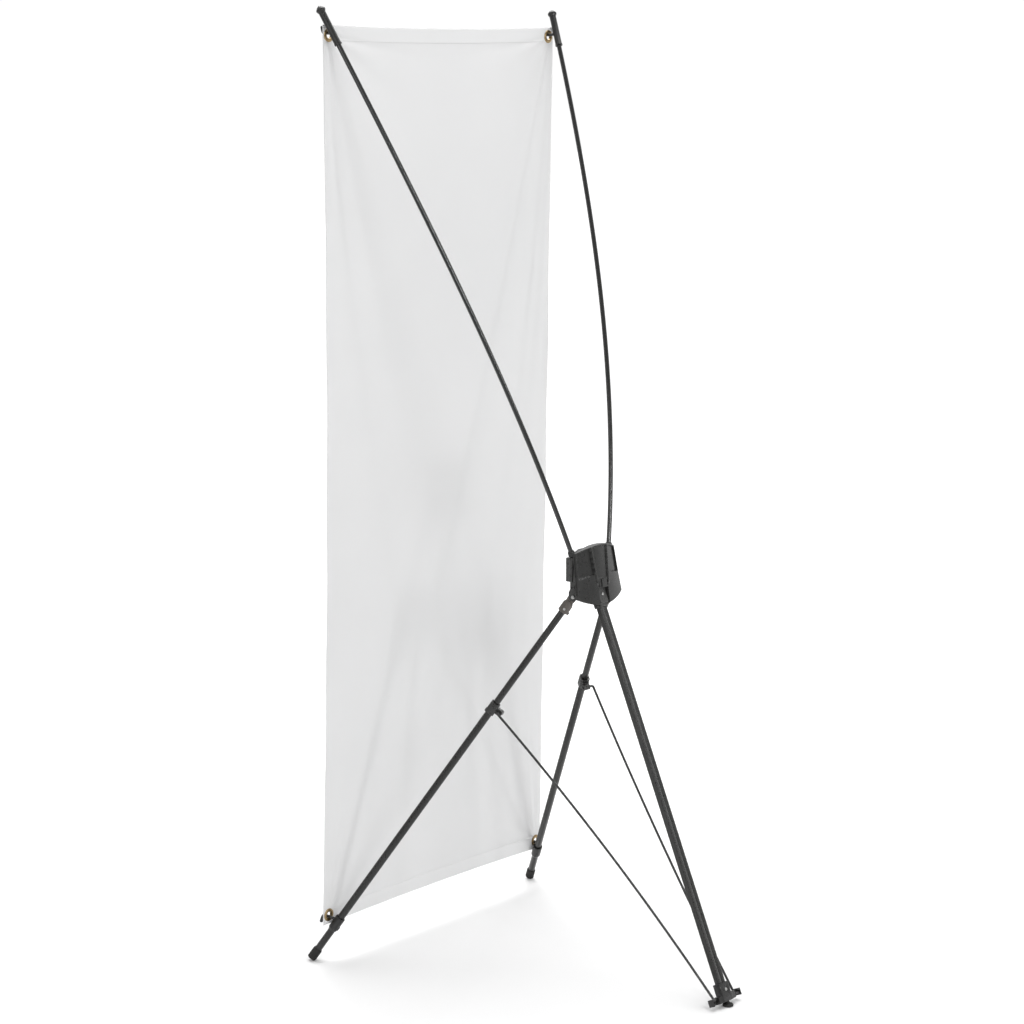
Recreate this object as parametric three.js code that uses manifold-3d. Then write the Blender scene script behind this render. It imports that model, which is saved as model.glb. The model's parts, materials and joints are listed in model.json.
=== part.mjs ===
// X-banner stand: a folding tripod hub carries two bowed poles, and a banner hangs on four hooks.
//
// Frame: millimetres, +Z up, the printed side of the banner faces -Y. The parts are laid out in a stand
// frame with z = 0 on the floor and y = 0 at the lower grommets, and the whole stand is centred at the end.
// "right" is the +X side. Every paired piece is designed for the right side and mirrored to the left.

import * as THREE from 'three';
import { mergeVertices } from 'three/addons/utils/BufferGeometryUtils.js';
import Module from 'manifold-3d';

const wasm = await Module();
wasm.setup();

// ---------------------------------------------------------------- driving dimensions

// Clearances
const gap = 0.3;                    // between touching pieces
const slideGap = 0.35;
const swingGap = 0.6;

// Banner
const bannerWidth = 610;
const bannerHeight = 1600;
const bannerThickness = 1.0;
const bannerWaist = 6;              // each side edge pulls in by this much at mid height
const bannerEdgeSag = 5;            // top and bottom edges pull in by this much at mid width
const grommetSideInset = 14;
const grommetEndInset = 17;
const bannerBottom = 71;            // lower edge above the floor
const bannerLean = 28;              // top grommets sit this much further back than the lower ones

// Grommets
const grommetHoleRadius = 6;
const grommetBarrelWall = 0.8;
const grommetFlange = 5.2;          // how far ring and washer reach past the barrel
const grommetOuterRadius = grommetHoleRadius + grommetBarrelWall + grommetFlange;
const grommetRimHeight = 2;
const washerThickness = 1.2;

// Hub
const hubHingeHeight = 690;         // front leg hinges above the floor
const hubHingeSpread = 51;          // front leg hinges left and right of the middle
const hubHingeDepth = 373;          // front leg hinges behind the lower grommets
const hubTop = hubHingeHeight + 90;
const hubShoulderHeight = hubHingeHeight + 78;
const hubWaistHeight = hubHingeHeight + 38;
const hubFlareHeight = hubHingeHeight - 2;
const hubBottom = hubHingeHeight - 18;
const hubTopHalfWidth = hubHingeSpread - 29;
const hubShoulderHalfWidth = hubHingeSpread - 13;
const hubWaistHalfWidth = hubHingeSpread - 7;
const hubFlareHalfWidth = hubHingeSpread + 13;
const hubFrontFace = hubHingeDepth - 13;
const hubSplitFace = hubHingeDepth + 3;     // where body and cover meet
const hubCrown = hubHingeDepth + 21;        // rear face of the cover on its centre line
const hubCrownSag = 10;                     // how much the rear face curves away at the flare
const coverWall = 3;
const bayDepth = 2;
const ribWidth = 3.4;
const ribTopOffset = 22;
const ribBottomOffset = 15;
const bayFloorHeight = hubHingeHeight + 36;

// Poles
const poleRadius = 4.25;
const poleTipRise = 19;             // pole tip above the banner's upper edge
const poleRoot = new THREE.Vector3(hubHingeSpread + 2, hubHingeDepth - 4.5, hubHingeHeight + 79.5);
const poleTip = new THREE.Vector3(bannerWidth / 2, bannerLean, bannerBottom + bannerHeight + poleTipRise);
const poleStartDirection = new THREE.Vector3(0.299, -0.174, 0.938).normalize();
const poleEndDirection = new THREE.Vector3(0.204, -0.425, 0.882).normalize();
const poleInsertion = 36;           // length of pole inside the socket
const socketOuterRadius = poleRadius + 3.15;
const socketLength = 42;
const ferruleLength = 9;
const ferruleRadius = poleRadius + 1.75;
const capRadius = poleRadius + 1.75;
const capKnobRadius = capRadius + 2;
const capLength = 72;

// Front legs
const footSpread = bannerWidth / 2 + 4;     // foot contact left and right of the middle
const upperTubeRadius = 6;
const lowerTubeRadius = upperTubeRadius + 0.6;
const tubeWall = 1;
const spigotLength = 25;
const collarDistance = 250;         // collar centre below the hinge, along the leg
const collarLength = 22;
const collarHalfWidth = upperTubeRadius + 2.6;
const legKnuckleLength = 44;
const legKnuckleRadius = upperTubeRadius + 2;
const legTongueThickness = 8;
const legTongueRadius = 7;
const legCheekThickness = 4;
const legPinRadius = 2.5;
const legRivetRadius = 1.5;
const legRivetDistance = 28;
const rubberFootRadius = lowerTubeRadius + 1.8;
const rubberFootLength = 23;
const footFlat = 0.8;               // how far the rubber edge is worn flat on the floor
const lowerHookDrop = 25.15;        // hook sleeve below the level of the grommet, along the leg
const lowerHookLength = 29;
const lowerHookRadius = lowerTubeRadius + 2.4;
const lowerHookClearance = 0.5;     // between the hook sleeve and the banner's lower edge

// Hooks
const hookWireRadius = 2.4;
const hookReach = 13;               // how far a hook passes in front of the banner
const hookCurl = 9;                 // how far its tip turns up or down

// Rear leg
const rearHinge = new THREE.Vector3(0, hubHingeDepth + 10.5, hubHingeHeight + 3);
const rearFootDepth = 673.5;        // crossbar centre behind the lower grommets
const crossbarHeight = 13;          // crossbar centre above the floor
const rearLegWidth = 19;
const rearLegThickness = 10;
const rearLegWall = 1.2;
const rearLegGroove = 1.6;
const rearKnuckleWidth = rearLegWidth + 4;
const rearKnuckleThickness = rearLegThickness + 6;
const rearKnuckleAbove = 9;
const rearKnuckleHeadroom = 4;      // slot in the hub cover above the knuckle
const rearKnuckleBelow = 52;
const rearPinRadius = 2.5;
const rearRivetRadius = 1.8;
const rearRivetDistance = 24;
const crossbarBlockWidth = rearLegWidth + 7;
const crossbarBlockHeight = 26;
const crossbarLength = crossbarBlockWidth + 53;
const crossbarSection = 12.4;
const crossbarRivetRise = 14;
const padRadius = 9.5;
const padThickness = 4.2;
const padStemRadius = 3;
const padRearward = 7;              // pad centre behind the crossbar centre

// Brace rods
const rodRadius = 2.25;
const rodSideOffset = collarHalfWidth + 5.9;        // rod beside the leg, along the hinge axis
const rodRearOffset = collarHalfWidth + 3.9;        // rod pivot behind the leg axis
const rodFootSpread = crossbarBlockWidth / 2 + 15;
const rodSeatRoom = 2.7;             // room on the leg side of each rod, for its turn near the end of folding
const rodPinLength = 8;
const rodBowIn = 11;
const rodBowUp = 4;

// ---------------------------------------------------------------- materials

function material(color, roughness, metalness) {
  return () => new THREE.MeshStandardMaterial({ color, roughness, metalness });
}
const hubPlastic = material(0x3c3c3b, 0.6, 0);
const knucklePlastic = material(0x5f5a56, 0.55, 0);
const legPaint = material(0x3d3c3b, 0.42, 0.3);
const poleGloss = material(0x1c1c1c, 0.22, 0.1);
const rodSteel = material(0x2a2a2a, 0.35, 0.6);
const blackRubber = material(0x232323, 0.8, 0);
const capPlastic = material(0x202020, 0.45, 0);
const brass = material(0x9a7d4a, 0.3, 0.9);
const rivetSteel = material(0x8a8a88, 0.35, 0.9);
const bannerFabric = material(0xe6e6e6, 0.75, 0);

// ---------------------------------------------------------------- solids

function toSolid(geometry) {
  const bare = geometry.clone();
  for (const name of Object.keys(bare.attributes)) {
    if (name !== 'position') bare.deleteAttribute(name);
  }
  const closed = mergeVertices(bare, 1e-4);
  const vertProperties = Float32Array.from(closed.attributes.position.array);
  const triVerts = Uint32Array.from(closed.index.array);
  return new wasm.Manifold(new wasm.Mesh({ numProp: 3, vertProperties, triVerts }));
}

function toGeometry(solid) {
  const mesh = solid.getMesh();
  const geometry = new THREE.BufferGeometry();
  geometry.setAttribute('position', new THREE.BufferAttribute(mesh.vertProperties, 3));
  geometry.setIndex(new THREE.BufferAttribute(mesh.triVerts, 1));
  return geometry;
}

function union(...geometries) {
  return toGeometry(geometries.map(toSolid).reduce((whole, solid) => whole.add(solid)));
}

function cut(geometry, ...tools) {
  return toGeometry(tools.map(toSolid).reduce((whole, tool) => whole.subtract(tool), toSolid(geometry)));
}

function common(first, second) {
  return toGeometry(toSolid(first).intersect(toSolid(second)));
}

function moved(geometry, x, y, z) {
  return geometry.clone().translate(x, y, z);
}

function box(x0, x1, y0, y1, z0, z1) {
  const geometry = new THREE.BoxGeometry(x1 - x0, y1 - y0, z1 - z0);
  return geometry.translate((x0 + x1) / 2, (y0 + y1) / 2, (z0 + z1) / 2);
}

// A solid of revolution about Z from [radius, z] pairs that start and end on the axis or close on themselves.
function turned(profile, sides = 16) {
  const points = profile.map(([radius, z]) => new THREE.Vector2(radius, z));
  return new THREE.LatheGeometry(points, sides).rotateX(Math.PI / 2);
}

function rod(radius, z0, z1, sides = 16) {
  return turned([[0, z0], [radius, z0], [radius, z1], [0, z1]], sides);
}

function tube(outer, inner, z0, z1, sides = 16) {
  return turned([[inner, z0], [outer, z0], [outer, z1], [inner, z1], [inner, z0]], sides);
}

function ball(center, radius, sides = 8) {
  return moved(new THREE.SphereGeometry(radius, sides, sides / 2), center.x, center.y, center.z);
}

// A round bar along a curve.
function swept(curve, radius, steps, sides = 8) {
  const section = new THREE.Shape();
  for (let i = 0; i < sides; i++) {
    const angle = (i / sides) * 2 * Math.PI;
    const point = [radius * Math.cos(angle), radius * Math.sin(angle)];
    if (i === 0) section.moveTo(...point);
    else section.lineTo(...point);
  }
  section.closePath();
  return new THREE.ExtrudeGeometry(section, { steps, extrudePath: curve, bevelEnabled: false, curveSegments: 1 });
}

// A path that is sampled evenly between its points, so close points give a tight bend more sections.
class PointPath extends THREE.CatmullRomCurve3 {
  getPointAt(u, target) {
    return this.getPoint(u, target);
  }

  getTangentAt(u, target) {
    return this.getTangent(u, target);
  }
}

// A bent wire through the corners, with each corner rounded by the bend radius.
function bentWire(corners, radius, bend, sides = 8) {
  const points = [corners[0]];
  for (let i = 1; i < corners.length - 1; i++) {
    const before = new THREE.Vector3().subVectors(corners[i - 1], corners[i]).normalize();
    const after = new THREE.Vector3().subVectors(corners[i + 1], corners[i]).normalize();
    const entry = corners[i].clone().addScaledVector(before, bend);
    const exit = corners[i].clone().addScaledVector(after, bend);
    const middle = entry.clone().add(exit).multiplyScalar(0.25).addScaledVector(corners[i], 0.5);
    points.push(entry, middle, exit);
  }
  points.push(corners[corners.length - 1]);
  return swept(new PointPath(points), radius, points.length - 1, sides);
}

// A rectangle with rounded corners, extruded along Z.
function roundedBlock(width, depth, z0, z1, corner, curveSegments = 3) {
  const w = width / 2;
  const d = depth / 2;
  const shape = new THREE.Shape();
  shape.moveTo(-w + corner, -d);
  shape.lineTo(w - corner, -d);
  shape.absarc(w - corner, -d + corner, corner, -Math.PI / 2, 0);
  shape.lineTo(w, d - corner);
  shape.absarc(w - corner, d - corner, corner, 0, Math.PI / 2);
  shape.lineTo(-w + corner, d);
  shape.absarc(-w + corner, d - corner, corner, Math.PI / 2, Math.PI);
  shape.lineTo(-w, -d + corner);
  shape.absarc(-w + corner, -d + corner, corner, Math.PI, 1.5 * Math.PI);
  return moved(new THREE.ExtrudeGeometry(shape, { depth: z1 - z0, bevelEnabled: false, curveSegments }), 0, 0, z0);
}

// Extrudes an outline drawn in X and Z along Y, from y0 to y1.
function uprightPlate(shape, y0, y1, curveSegments = 6) {
  const plate = new THREE.ExtrudeGeometry(shape, { depth: y1 - y0, bevelEnabled: false, curveSegments });
  return plate.rotateX(Math.PI / 2).translate(0, y1, 0);
}

// A bar of the given radius that lies along X.
function crossRod(radius, x0, x1, sides = 16) {
  return rod(radius, x0, x1, sides).rotateY(Math.PI / 2);
}

// ---------------------------------------------------------------- frames and mirror

function mirrorX(geometry) {
  const flipped = geometry.index ? geometry.toNonIndexed() : geometry.clone();
  flipped.scale(-1, 1, 1);
  const position = flipped.attributes.position;
  for (let i = 0; i < position.count; i += 3) {
    const a = new THREE.Vector3().fromBufferAttribute(position, i);
    const b = new THREE.Vector3().fromBufferAttribute(position, i + 1);
    position.setXYZ(i, b.x, b.y, b.z);
    position.setXYZ(i + 1, a.x, a.y, a.z);
  }
  return flipped;
}

function both(make) {
  return [['right', 1], ['left', -1]].map(([name, side]) => make(name, side));
}

// A mesh whose geometry was drawn for the right side.
function sidedMesh(name, geometry, side, paint) {
  return mesh(name, side > 0 ? geometry : mirrorX(geometry), paint);
}

function mesh(name, geometry, paint) {
  const result = new THREE.Mesh(geometry, paint());
  result.name = name;
  return result;
}

// A group at a right-side point with right-side axes, mirrored for the left side.
function sidedFrame(side, origin, xAxis, yAxis, zAxis, ...children) {
  const group = new THREE.Group();
  group.position.set(origin.x * side, origin.y, origin.z);
  const mirrored = (axis, sign) => new THREE.Vector3(axis.x * side * sign, axis.y * sign, axis.z * sign);
  group.quaternion.setFromRotationMatrix(
    new THREE.Matrix4().makeBasis(mirrored(xAxis, side), mirrored(yAxis, 1), mirrored(zAxis, 1)),
  );
  group.add(...children);
  return group;
}

function frameOf(zAxis, xHint) {
  const z = zAxis.clone().normalize();
  const y = new THREE.Vector3().crossVectors(z, xHint).normalize();
  const x = new THREE.Vector3().crossVectors(y, z);
  return { x, y, z };
}

const unitX = new THREE.Vector3(1, 0, 0);
const unitY = new THREE.Vector3(0, 1, 0);
const unitZ = new THREE.Vector3(0, 0, 1);

function toFrame(point, origin, axes) {
  const local = new THREE.Vector3().subVectors(point, origin);
  return new THREE.Vector3(local.dot(axes.x), local.dot(axes.y), local.dot(axes.z));
}

function fromFrame(local, origin, axes) {
  return origin.clone()
    .addScaledVector(axes.x, local.x)
    .addScaledVector(axes.y, local.y)
    .addScaledVector(axes.z, local.z);
}

// ---------------------------------------------------------------- stand geometry

// The leg passes under the banner from behind, and the hook sleeve on it just clears the lower edge.
const hingeAboveEdge = hubHingeHeight - bannerBottom;
const legBehindEdge = (lowerHookRadius + lowerHookClearance) * Math.hypot(1, hubHingeDepth / hingeAboveEdge);
const footForward = legBehindEdge - (bannerBottom * (hubHingeDepth - legBehindEdge)) / hingeAboveEdge;

// Front leg: z runs up the leg, x is the hinge axis, y points the way the leg folds.
const legHinge = new THREE.Vector3(hubHingeSpread, hubHingeDepth, hubHingeHeight);
const legFoot = new THREE.Vector3(footSpread, footForward, 0);
const legUp = new THREE.Vector3().subVectors(legHinge, legFoot).normalize();
const legAxis = new THREE.Vector3().crossVectors(legUp, unitZ).normalize();
const legAxisTurn = Math.atan2(legAxis.y, legAxis.x);
const legAxes = { x: legAxis, y: new THREE.Vector3().crossVectors(legUp, legAxis), z: legUp };
const legFold = Math.acos(legUp.z);
// The rim of the cylindrical rubber cap, not its centre, touches the floor.
const legReach = (legHinge.z - (rubberFootRadius * Math.sin(legFold) - footFlat)) / legUp.z;

// Rear leg: z runs up the leg, y points to the rear.
const rearFoot = new THREE.Vector3(0, rearFootDepth, crossbarHeight);
const rearLegUp = new THREE.Vector3().subVectors(rearHinge, rearFoot).normalize();
const rearAxes = { x: unitX, y: new THREE.Vector3().crossVectors(rearLegUp, unitX), z: rearLegUp };
const rearReach = rearHinge.distanceTo(rearFoot);

// Brace rod: from the collar lug to the crossbar, at rest and with the legs folded parallel.
const rodTopLocal = new THREE.Vector3(rodSideOffset, rodRearOffset, -collarDistance);
const rodTop = fromFrame(rodTopLocal, legHinge, legAxes);
const rodFootLocal = new THREE.Vector3(rodFootSpread, 0, -rearReach);
const rodBottom = fromFrame(rodFootLocal, rearHinge, rearAxes);
const rodLength = rodTop.distanceTo(rodBottom);
const rodDown = new THREE.Vector3().subVectors(rodBottom, rodTop).normalize();
const foldedLegAxes = { x: legAxis, y: new THREE.Vector3().crossVectors(unitZ, legAxis), z: unitZ };
const foldedRodBottom = fromFrame(rodFootLocal, rearHinge, { x: unitX, y: unitY, z: unitZ });
const foldedRodTop = fromFrame(rodTopLocal, legHinge, foldedLegAxes);
const foldedRodSpan = Math.hypot(foldedRodTop.x - foldedRodBottom.x, foldedRodTop.y - foldedRodBottom.y);
foldedRodTop.z = foldedRodBottom.z + Math.sqrt(rodLength ** 2 - foldedRodSpan ** 2);
const foldedRodDown = new THREE.Vector3().subVectors(foldedRodBottom, foldedRodTop).normalize();
// The rod turns in its lug about the axis that takes one direction to the other, seen from the leg.
const zero = new THREE.Vector3();
const rodDownOnLeg = toFrame(rodDown, zero, legAxes);
const foldedRodDownOnLeg = toFrame(foldedRodDown, zero, foldedLegAxes);
const rodAxisOnLeg = new THREE.Vector3().crossVectors(foldedRodDownOnLeg, rodDownOnLeg).normalize();
const rodAxis = fromFrame(rodAxisOnLeg, zero, legAxes);

// Banner plane: x across, z up the sheet, y to the rear. The origin is midway between the lower grommets.
const grommetSpread = bannerWidth / 2 - grommetSideInset;
const grommetRise = bannerHeight - 2 * grommetEndInset;
const bannerOrigin = new THREE.Vector3(0, 0, bannerBottom + grommetEndInset);
const bannerTilt = Math.asin(bannerLean / grommetRise);
const bannerAxes = {
  x: unitX,
  y: new THREE.Vector3(0, Math.cos(bannerTilt), -Math.sin(bannerTilt)),
  z: new THREE.Vector3(0, Math.sin(bannerTilt), Math.cos(bannerTilt)),
};
const lowerGrommet = new THREE.Vector3(grommetSpread, 0, bannerOrigin.z);
const lowerHookDistance = lowerGrommet.z / legUp.z - lowerHookDrop;
const upperGrommet = fromFrame(new THREE.Vector3(grommetSpread, 0, grommetRise), bannerOrigin, bannerAxes);

// ---------------------------------------------------------------- hub

function hubOutline(inset, drop) {
  const shape = new THREE.Shape();
  const right = [
    [hubTopHalfWidth, hubTop - inset],
    [hubShoulderHalfWidth - inset, hubShoulderHeight - inset],
    [hubWaistHalfWidth - inset, hubWaistHeight],
    [hubFlareHalfWidth - inset, hubFlareHeight + 2],
    [hubFlareHalfWidth - 5 - inset, hubFlareHeight - 5 - drop],
    [hubFlareHalfWidth / 2, hubBottom + 3 - drop],
    [hubFlareHalfWidth / 5, hubBottom - drop],
  ];
  right.forEach(([x, z], i) => (i === 0 ? shape.moveTo(x, z) : shape.lineTo(x, z)));
  right.reverse().forEach(([x, z]) => shape.lineTo(-x, z));
  shape.closePath();
  return shape;
}

// Plan of the rear face: an arc through the crown that falls away towards the flare.
function crownedBlock(crown) {
  const reach = hubFlareHalfWidth + 6;
  const steps = 8;
  const shape = new THREE.Shape();
  shape.moveTo(-reach, hubFrontFace - 1);
  shape.lineTo(reach, hubFrontFace - 1);
  for (let i = 0; i <= steps; i++) {
    const x = reach - (2 * reach * i) / steps;
    shape.lineTo(x, crown - hubCrownSag * (x / hubFlareHalfWidth) ** 2);
  }
  shape.closePath();
  const height = hubTop - hubBottom + 60;
  return moved(new THREE.ExtrudeGeometry(shape, { depth: height, bevelEnabled: false }), 0, 0, hubBottom - 30);
}

const outlineDepth = hubCrown - hubFrontFace + 5;

function hubFullPlate(inset, drop, y0) {
  return uprightPlate(hubOutline(inset, drop), y0, hubFrontFace + outlineDepth);
}

// Pole socket: z runs up the pole.
const socketAxes = frameOf(poleStartDirection, unitX);

function alongSocket(geometry) {
  const turn = new THREE.Matrix4().makeBasis(socketAxes.x, socketAxes.y, socketAxes.z);
  return geometry.applyMatrix4(turn).translate(poleRoot.x, poleRoot.y, poleRoot.z);
}

function onBothSides(geometry) {
  return [geometry, mirrorX(geometry)];
}

function alongLeg(geometry) {
  const turn = new THREE.Matrix4().makeBasis(legAxes.x, legAxes.y, legAxes.z);
  return geometry.applyMatrix4(turn).translate(legHinge.x, legHinge.y, legHinge.z);
}

// A hub cheek beside the leg tongue: a round lug about the hinge that runs up into the hub body.
function legCheek(offset) {
  const radius = legTongueRadius;
  const rise = 24;
  const shape = new THREE.Shape();
  shape.moveTo(-radius, rise);
  shape.lineTo(-radius, 0);
  shape.absarc(0, 0, radius, Math.PI, 2 * Math.PI);
  shape.lineTo(radius, rise);
  shape.closePath();
  const depth = legCheekThickness;
  const plate = new THREE.ExtrudeGeometry(shape, { depth, bevelEnabled: false, curveSegments: 6 });
  plate.rotateX(Math.PI / 2).rotateZ(Math.PI / 2);
  plate.translate(offset, 0, 0);
  return plate.rotateZ(legAxisTurn).translate(legHinge.x, legHinge.y, legHinge.z);
}

const lowScrewHeight = hubHingeHeight + 26;
const hubScrewPlaces = [[0, hubHingeHeight + 72], [-30, lowScrewHeight], [30, lowScrewHeight]];
const screwRadius = 1.6;
const screwHeadRadius = 3.2;
const screwHeadHeight = 2;
const screwLength = 15;

function hubBody() {
  const plate = common(
    uprightPlate(hubOutline(0.5, 0), hubFrontFace, hubSplitFace),
    box(-80, 80, hubFrontFace - 5, hubSplitFace + 5, hubHingeHeight + 9, hubTop - 2),
  );
  const apron = box(-hubFlareHalfWidth / 2.4, hubFlareHalfWidth / 2.4, hubFrontFace, hubFrontFace + 5,
    hubBottom + 6, hubHingeHeight + 12);
  const socket = alongSocket(rod(socketOuterRadius, -ferruleLength - socketLength, -ferruleLength - gap, 16));
  const inner = legTongueThickness / 2 + gap;
  const cheeks = [legCheek(inner), legCheek(-inner - legCheekThickness)];
  const poleBore = alongSocket(rod(poleRadius + slideGap, -ferruleLength - poleInsertion - 1, 5, 12));
  const pinBore = alongLeg(crossRod(legPinRadius + gap, -20, 16));
  // Room above the leg tongue, where it turns under the body.
  const tongueRoom = crossRod(legTongueRadius + 1.4, -inner, inner, 12).rotateZ(legAxisTurn);
  tongueRoom.translate(legHinge.x, legHinge.y, legHinge.z);
  const rearPocket = box(-rearKnuckleWidth / 2 - swingGap, rearKnuckleWidth / 2 + swingGap,
    rearHinge.y - rearKnuckleThickness / 2 - 1.5, hubSplitFace + 5, hubBottom - 5, hubHingeHeight + 18);
  const screwBores = hubScrewPlaces.map(([x, z]) => screwPlace(rod(screwRadius + gap, -30, 5, 8), x, z));
  const whole = union(plate, apron, ...onBothSides(socket), ...cheeks.flatMap(onBothSides));
  return cut(whole, ...onBothSides(poleBore), ...onBothSides(pinBore), ...onBothSides(tongueRoom),
    rearPocket, ...rearPinBosses(true), ...screwBores);
}

// Two lugs on the hub cover hold the rear hinge pin.
function rearPinBosses(cutting) {
  const near = rearKnuckleWidth / 2 + gap + 0.2;
  const far = near + 5;
  const grow = cutting ? gap + 0.1 : 0;
  const lug = (x0, x1) => box(x0 - grow, x1 + grow, rearHinge.y - 6 - grow, rearHinge.y + 8,
    rearHinge.z - 6 - grow, rearHinge.z + 6 + grow);
  return [lug(near, far), lug(-far, -near)];
}

function screwPlace(geometry, x, z) {
  return geometry.rotateX(Math.PI / 2).translate(x, hubFrontFace, z);
}

function hubScrew([x, z]) {
  const profile = [[0, -screwLength], [screwRadius, -screwLength], [screwRadius, gap],
    [screwHeadRadius, gap], [screwHeadRadius, 1], [screwHeadRadius * 0.6, screwHeadHeight], [0, screwHeadHeight]];
  const slot = box(-screwHeadRadius, screwHeadRadius, -0.4, 0.4, screwHeadHeight - 0.8, screwHeadHeight + 1);
  return screwPlace(cut(turned(profile, 10), slot), x, z);
}

// A rib or bay edge that leans outwards towards the top.
function leaningStrip(bottomX, topX, width, y0, y1, z0, z1) {
  const shape = new THREE.Shape();
  shape.moveTo(bottomX - width / 2, z0);
  shape.lineTo(bottomX + width / 2, z0);
  shape.lineTo(topX + width / 2, z1);
  shape.lineTo(topX - width / 2, z1);
  shape.closePath();
  return uprightPlate(shape, y0, y1);
}

function hubCover() {
  const outer = common(hubFullPlate(0, 0, hubSplitFace + gap), crownedBlock(hubCrown));
  const cavityCrown = crownedBlock(hubCrown - coverWall - bayDepth);
  const cavity = common(hubFullPlate(coverWall, 30, hubSplitFace - 5), cavityCrown);
  const shell = cut(outer, cavity);
  // Everything above the smooth lower plate sinks in, and two leaning ribs stay proud.
  const upper = box(-80, 80, hubSplitFace + 2, hubCrown + 10, bayFloorHeight, hubTop + 10);
  const sunkLevel = crownedBlock(hubCrown - bayDepth);
  const lower = box(-80, 80, hubFrontFace - 2, hubCrown + 20, hubBottom - 72, bayFloorHeight);
  const sunk = common(shell, union(sunkLevel, lower));
  const ribTop = hubTop - 1;
  const ribBar = leaningStrip(ribBottomOffset, ribTopOffset, ribWidth, hubCrown - 8, hubCrown + 4,
    bayFloorHeight - 12, ribTop);
  const rim = cut(common(upper, hubFullPlate(0, 0, hubSplitFace + gap)),
    hubFullPlate(1.8, -1.8, hubSplitFace - 8));
  const rims = common(rim, crownedBlock(hubCrown));
  const ribs = onBothSides(ribBar).map((strip) => common(strip, crownedBlock(hubCrown)));
  const bosses = rearPinBosses(false).map((lug) => common(lug, crownedBlock(hubCrown - 1)));
  const screwPosts = hubScrewPlaces.map(([x, z]) =>
    common(box(x - 4, x + 4, hubSplitFace + gap, hubCrown, z - 4, z + 4), crownedBlock(hubCrown - bayDepth)));
  const whole = union(sunk, rims, ...ribs, ...bosses, ...screwPosts);
  const legSlot = box(-rearKnuckleWidth / 2 - 0.5, rearKnuckleWidth / 2 + 0.5, hubSplitFace - 5, hubCrown + 10,
    hubBottom - 10, rearHinge.z + rearKnuckleAbove + rearKnuckleHeadroom);
  const pinBore = crossRod(rearPinRadius + gap, -40, 40).translate(0, rearHinge.y, rearHinge.z);
  const socketRoom = alongSocket(rod(socketOuterRadius + 0.5, -90, 10, 16));
  const screwBores = hubScrewPlaces.map(([x, z]) => screwPlace(
    rod(screwRadius + gap, -screwLength - gap - 1, 5, 8), x, z));
  const cheekRoom = onBothSides(legRoom());
  // The flare is an open skirt without side walls, so that the legs can swing beside it.
  const openSkirt = box(-80, 80, hubSplitFace - 5, hubSplitFace + 6, hubBottom - 20, bayFloorHeight - 14);
  return cut(whole, openSkirt, legSlot, pinBore, ...onBothSides(socketRoom), ...cheekRoom, ...screwBores);
}

// Room in the cover for the leg cheeks and the swinging knuckle.
function legRoom() {
  const cheeks = legTongueThickness / 2 + legCheekThickness + gap + 0.4;
  const heads = cheeks + 1.8;
  const room = union(box(-cheeks, cheeks, -11, 7.6, -60, 26), box(-heads, heads, -11, 4.4, -60, 6));
  return room.rotateZ(legAxisTurn).translate(legHinge.x, legHinge.y, legHinge.z);
}

// ---------------------------------------------------------------- poles

const poleSpan = poleRoot.distanceTo(poleTip);
const poleCurve = new THREE.CubicBezierCurve3(
  poleRoot.clone(),
  poleRoot.clone().addScaledVector(poleStartDirection, poleSpan / 3),
  poleTip.clone().addScaledVector(poleEndDirection, -poleSpan / 3),
  poleTip.clone(),
);

function poleSweep(radius) {
  const start = poleRoot.clone().addScaledVector(poleStartDirection, -ferruleLength - poleInsertion);
  const points = [start, ...poleCurve.getPoints(18)];
  return swept(new PointPath(points), radius, points.length - 1, 12);
}

function ferruleGeometry() {
  const inner = poleRadius + gap;
  const profile = [[inner, -ferruleLength], [ferruleRadius, -ferruleLength],
    [ferruleRadius + 0.6, -ferruleLength + 2], [ferruleRadius, -2], [ferruleRadius - 0.8, 1], [inner, 1], [inner, -ferruleLength]];
  return turned(profile, 16);
}

const capAxes = frameOf(poleEndDirection, unitX);

// End cap and hook: z runs along the pole end, and z = 0 is the pole's tip.
function poleCapGeometry() {
  const skirt = capLength - 12;
  const profile = [[0, -skirt], [capRadius + 0.8, -skirt], [capRadius, -skirt + 3], [capRadius, 2],
    [capKnobRadius, 5.5], [capKnobRadius, 8.5], [capKnobRadius * 0.45, 12], [0, 12]];
  const shell = turned(profile, 16);
  const root = new THREE.Vector3(0, 0, -skirt + 6);
  const bend = toFrame(hookPoint(upperGrommet, 6, 0), poleTip, capAxes);
  const front = toFrame(hookPoint(upperGrommet, -hookReach, 0), poleTip, capAxes);
  const tip = toFrame(hookPoint(upperGrommet, -hookReach - 2, hookCurl), poleTip, capAxes);
  const hook = hookWire(nearestOnAxis(bend, root), bend, front, tip);
  const intoCap = new THREE.Matrix4().makeBasis(capAxes.x, capAxes.y, capAxes.z).setPosition(poleTip).invert();
  const room = poleSweep(poleRadius + gap).applyMatrix4(intoCap);
  const endRoom = rod(poleRadius + gap, -2, gap, 12);
  return cut(union(shell, hook), room, endRoom);
}

function nearestOnAxis(point, root) {
  return new THREE.Vector3(0, 0, Math.max(point.z, root.z));
}

// A point on a hook's route: depth in front of (minus) or behind the grommet, and a rise up the banner.
function hookPoint(grommet, depth, rise) {
  return grommet.clone().addScaledVector(bannerAxes.y, depth).addScaledVector(bannerAxes.z, rise);
}

function hookWire(root, bend, front, tip) {
  return union(
    bentWire([root, bend, front, tip], hookWireRadius, 4),
    ball(tip, hookWireRadius * 1.25),
  );
}

// ---------------------------------------------------------------- front legs

const shoulderDistance = collarDistance + collarLength / 2 + gap;
const upperTubeStart = 14;

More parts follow.
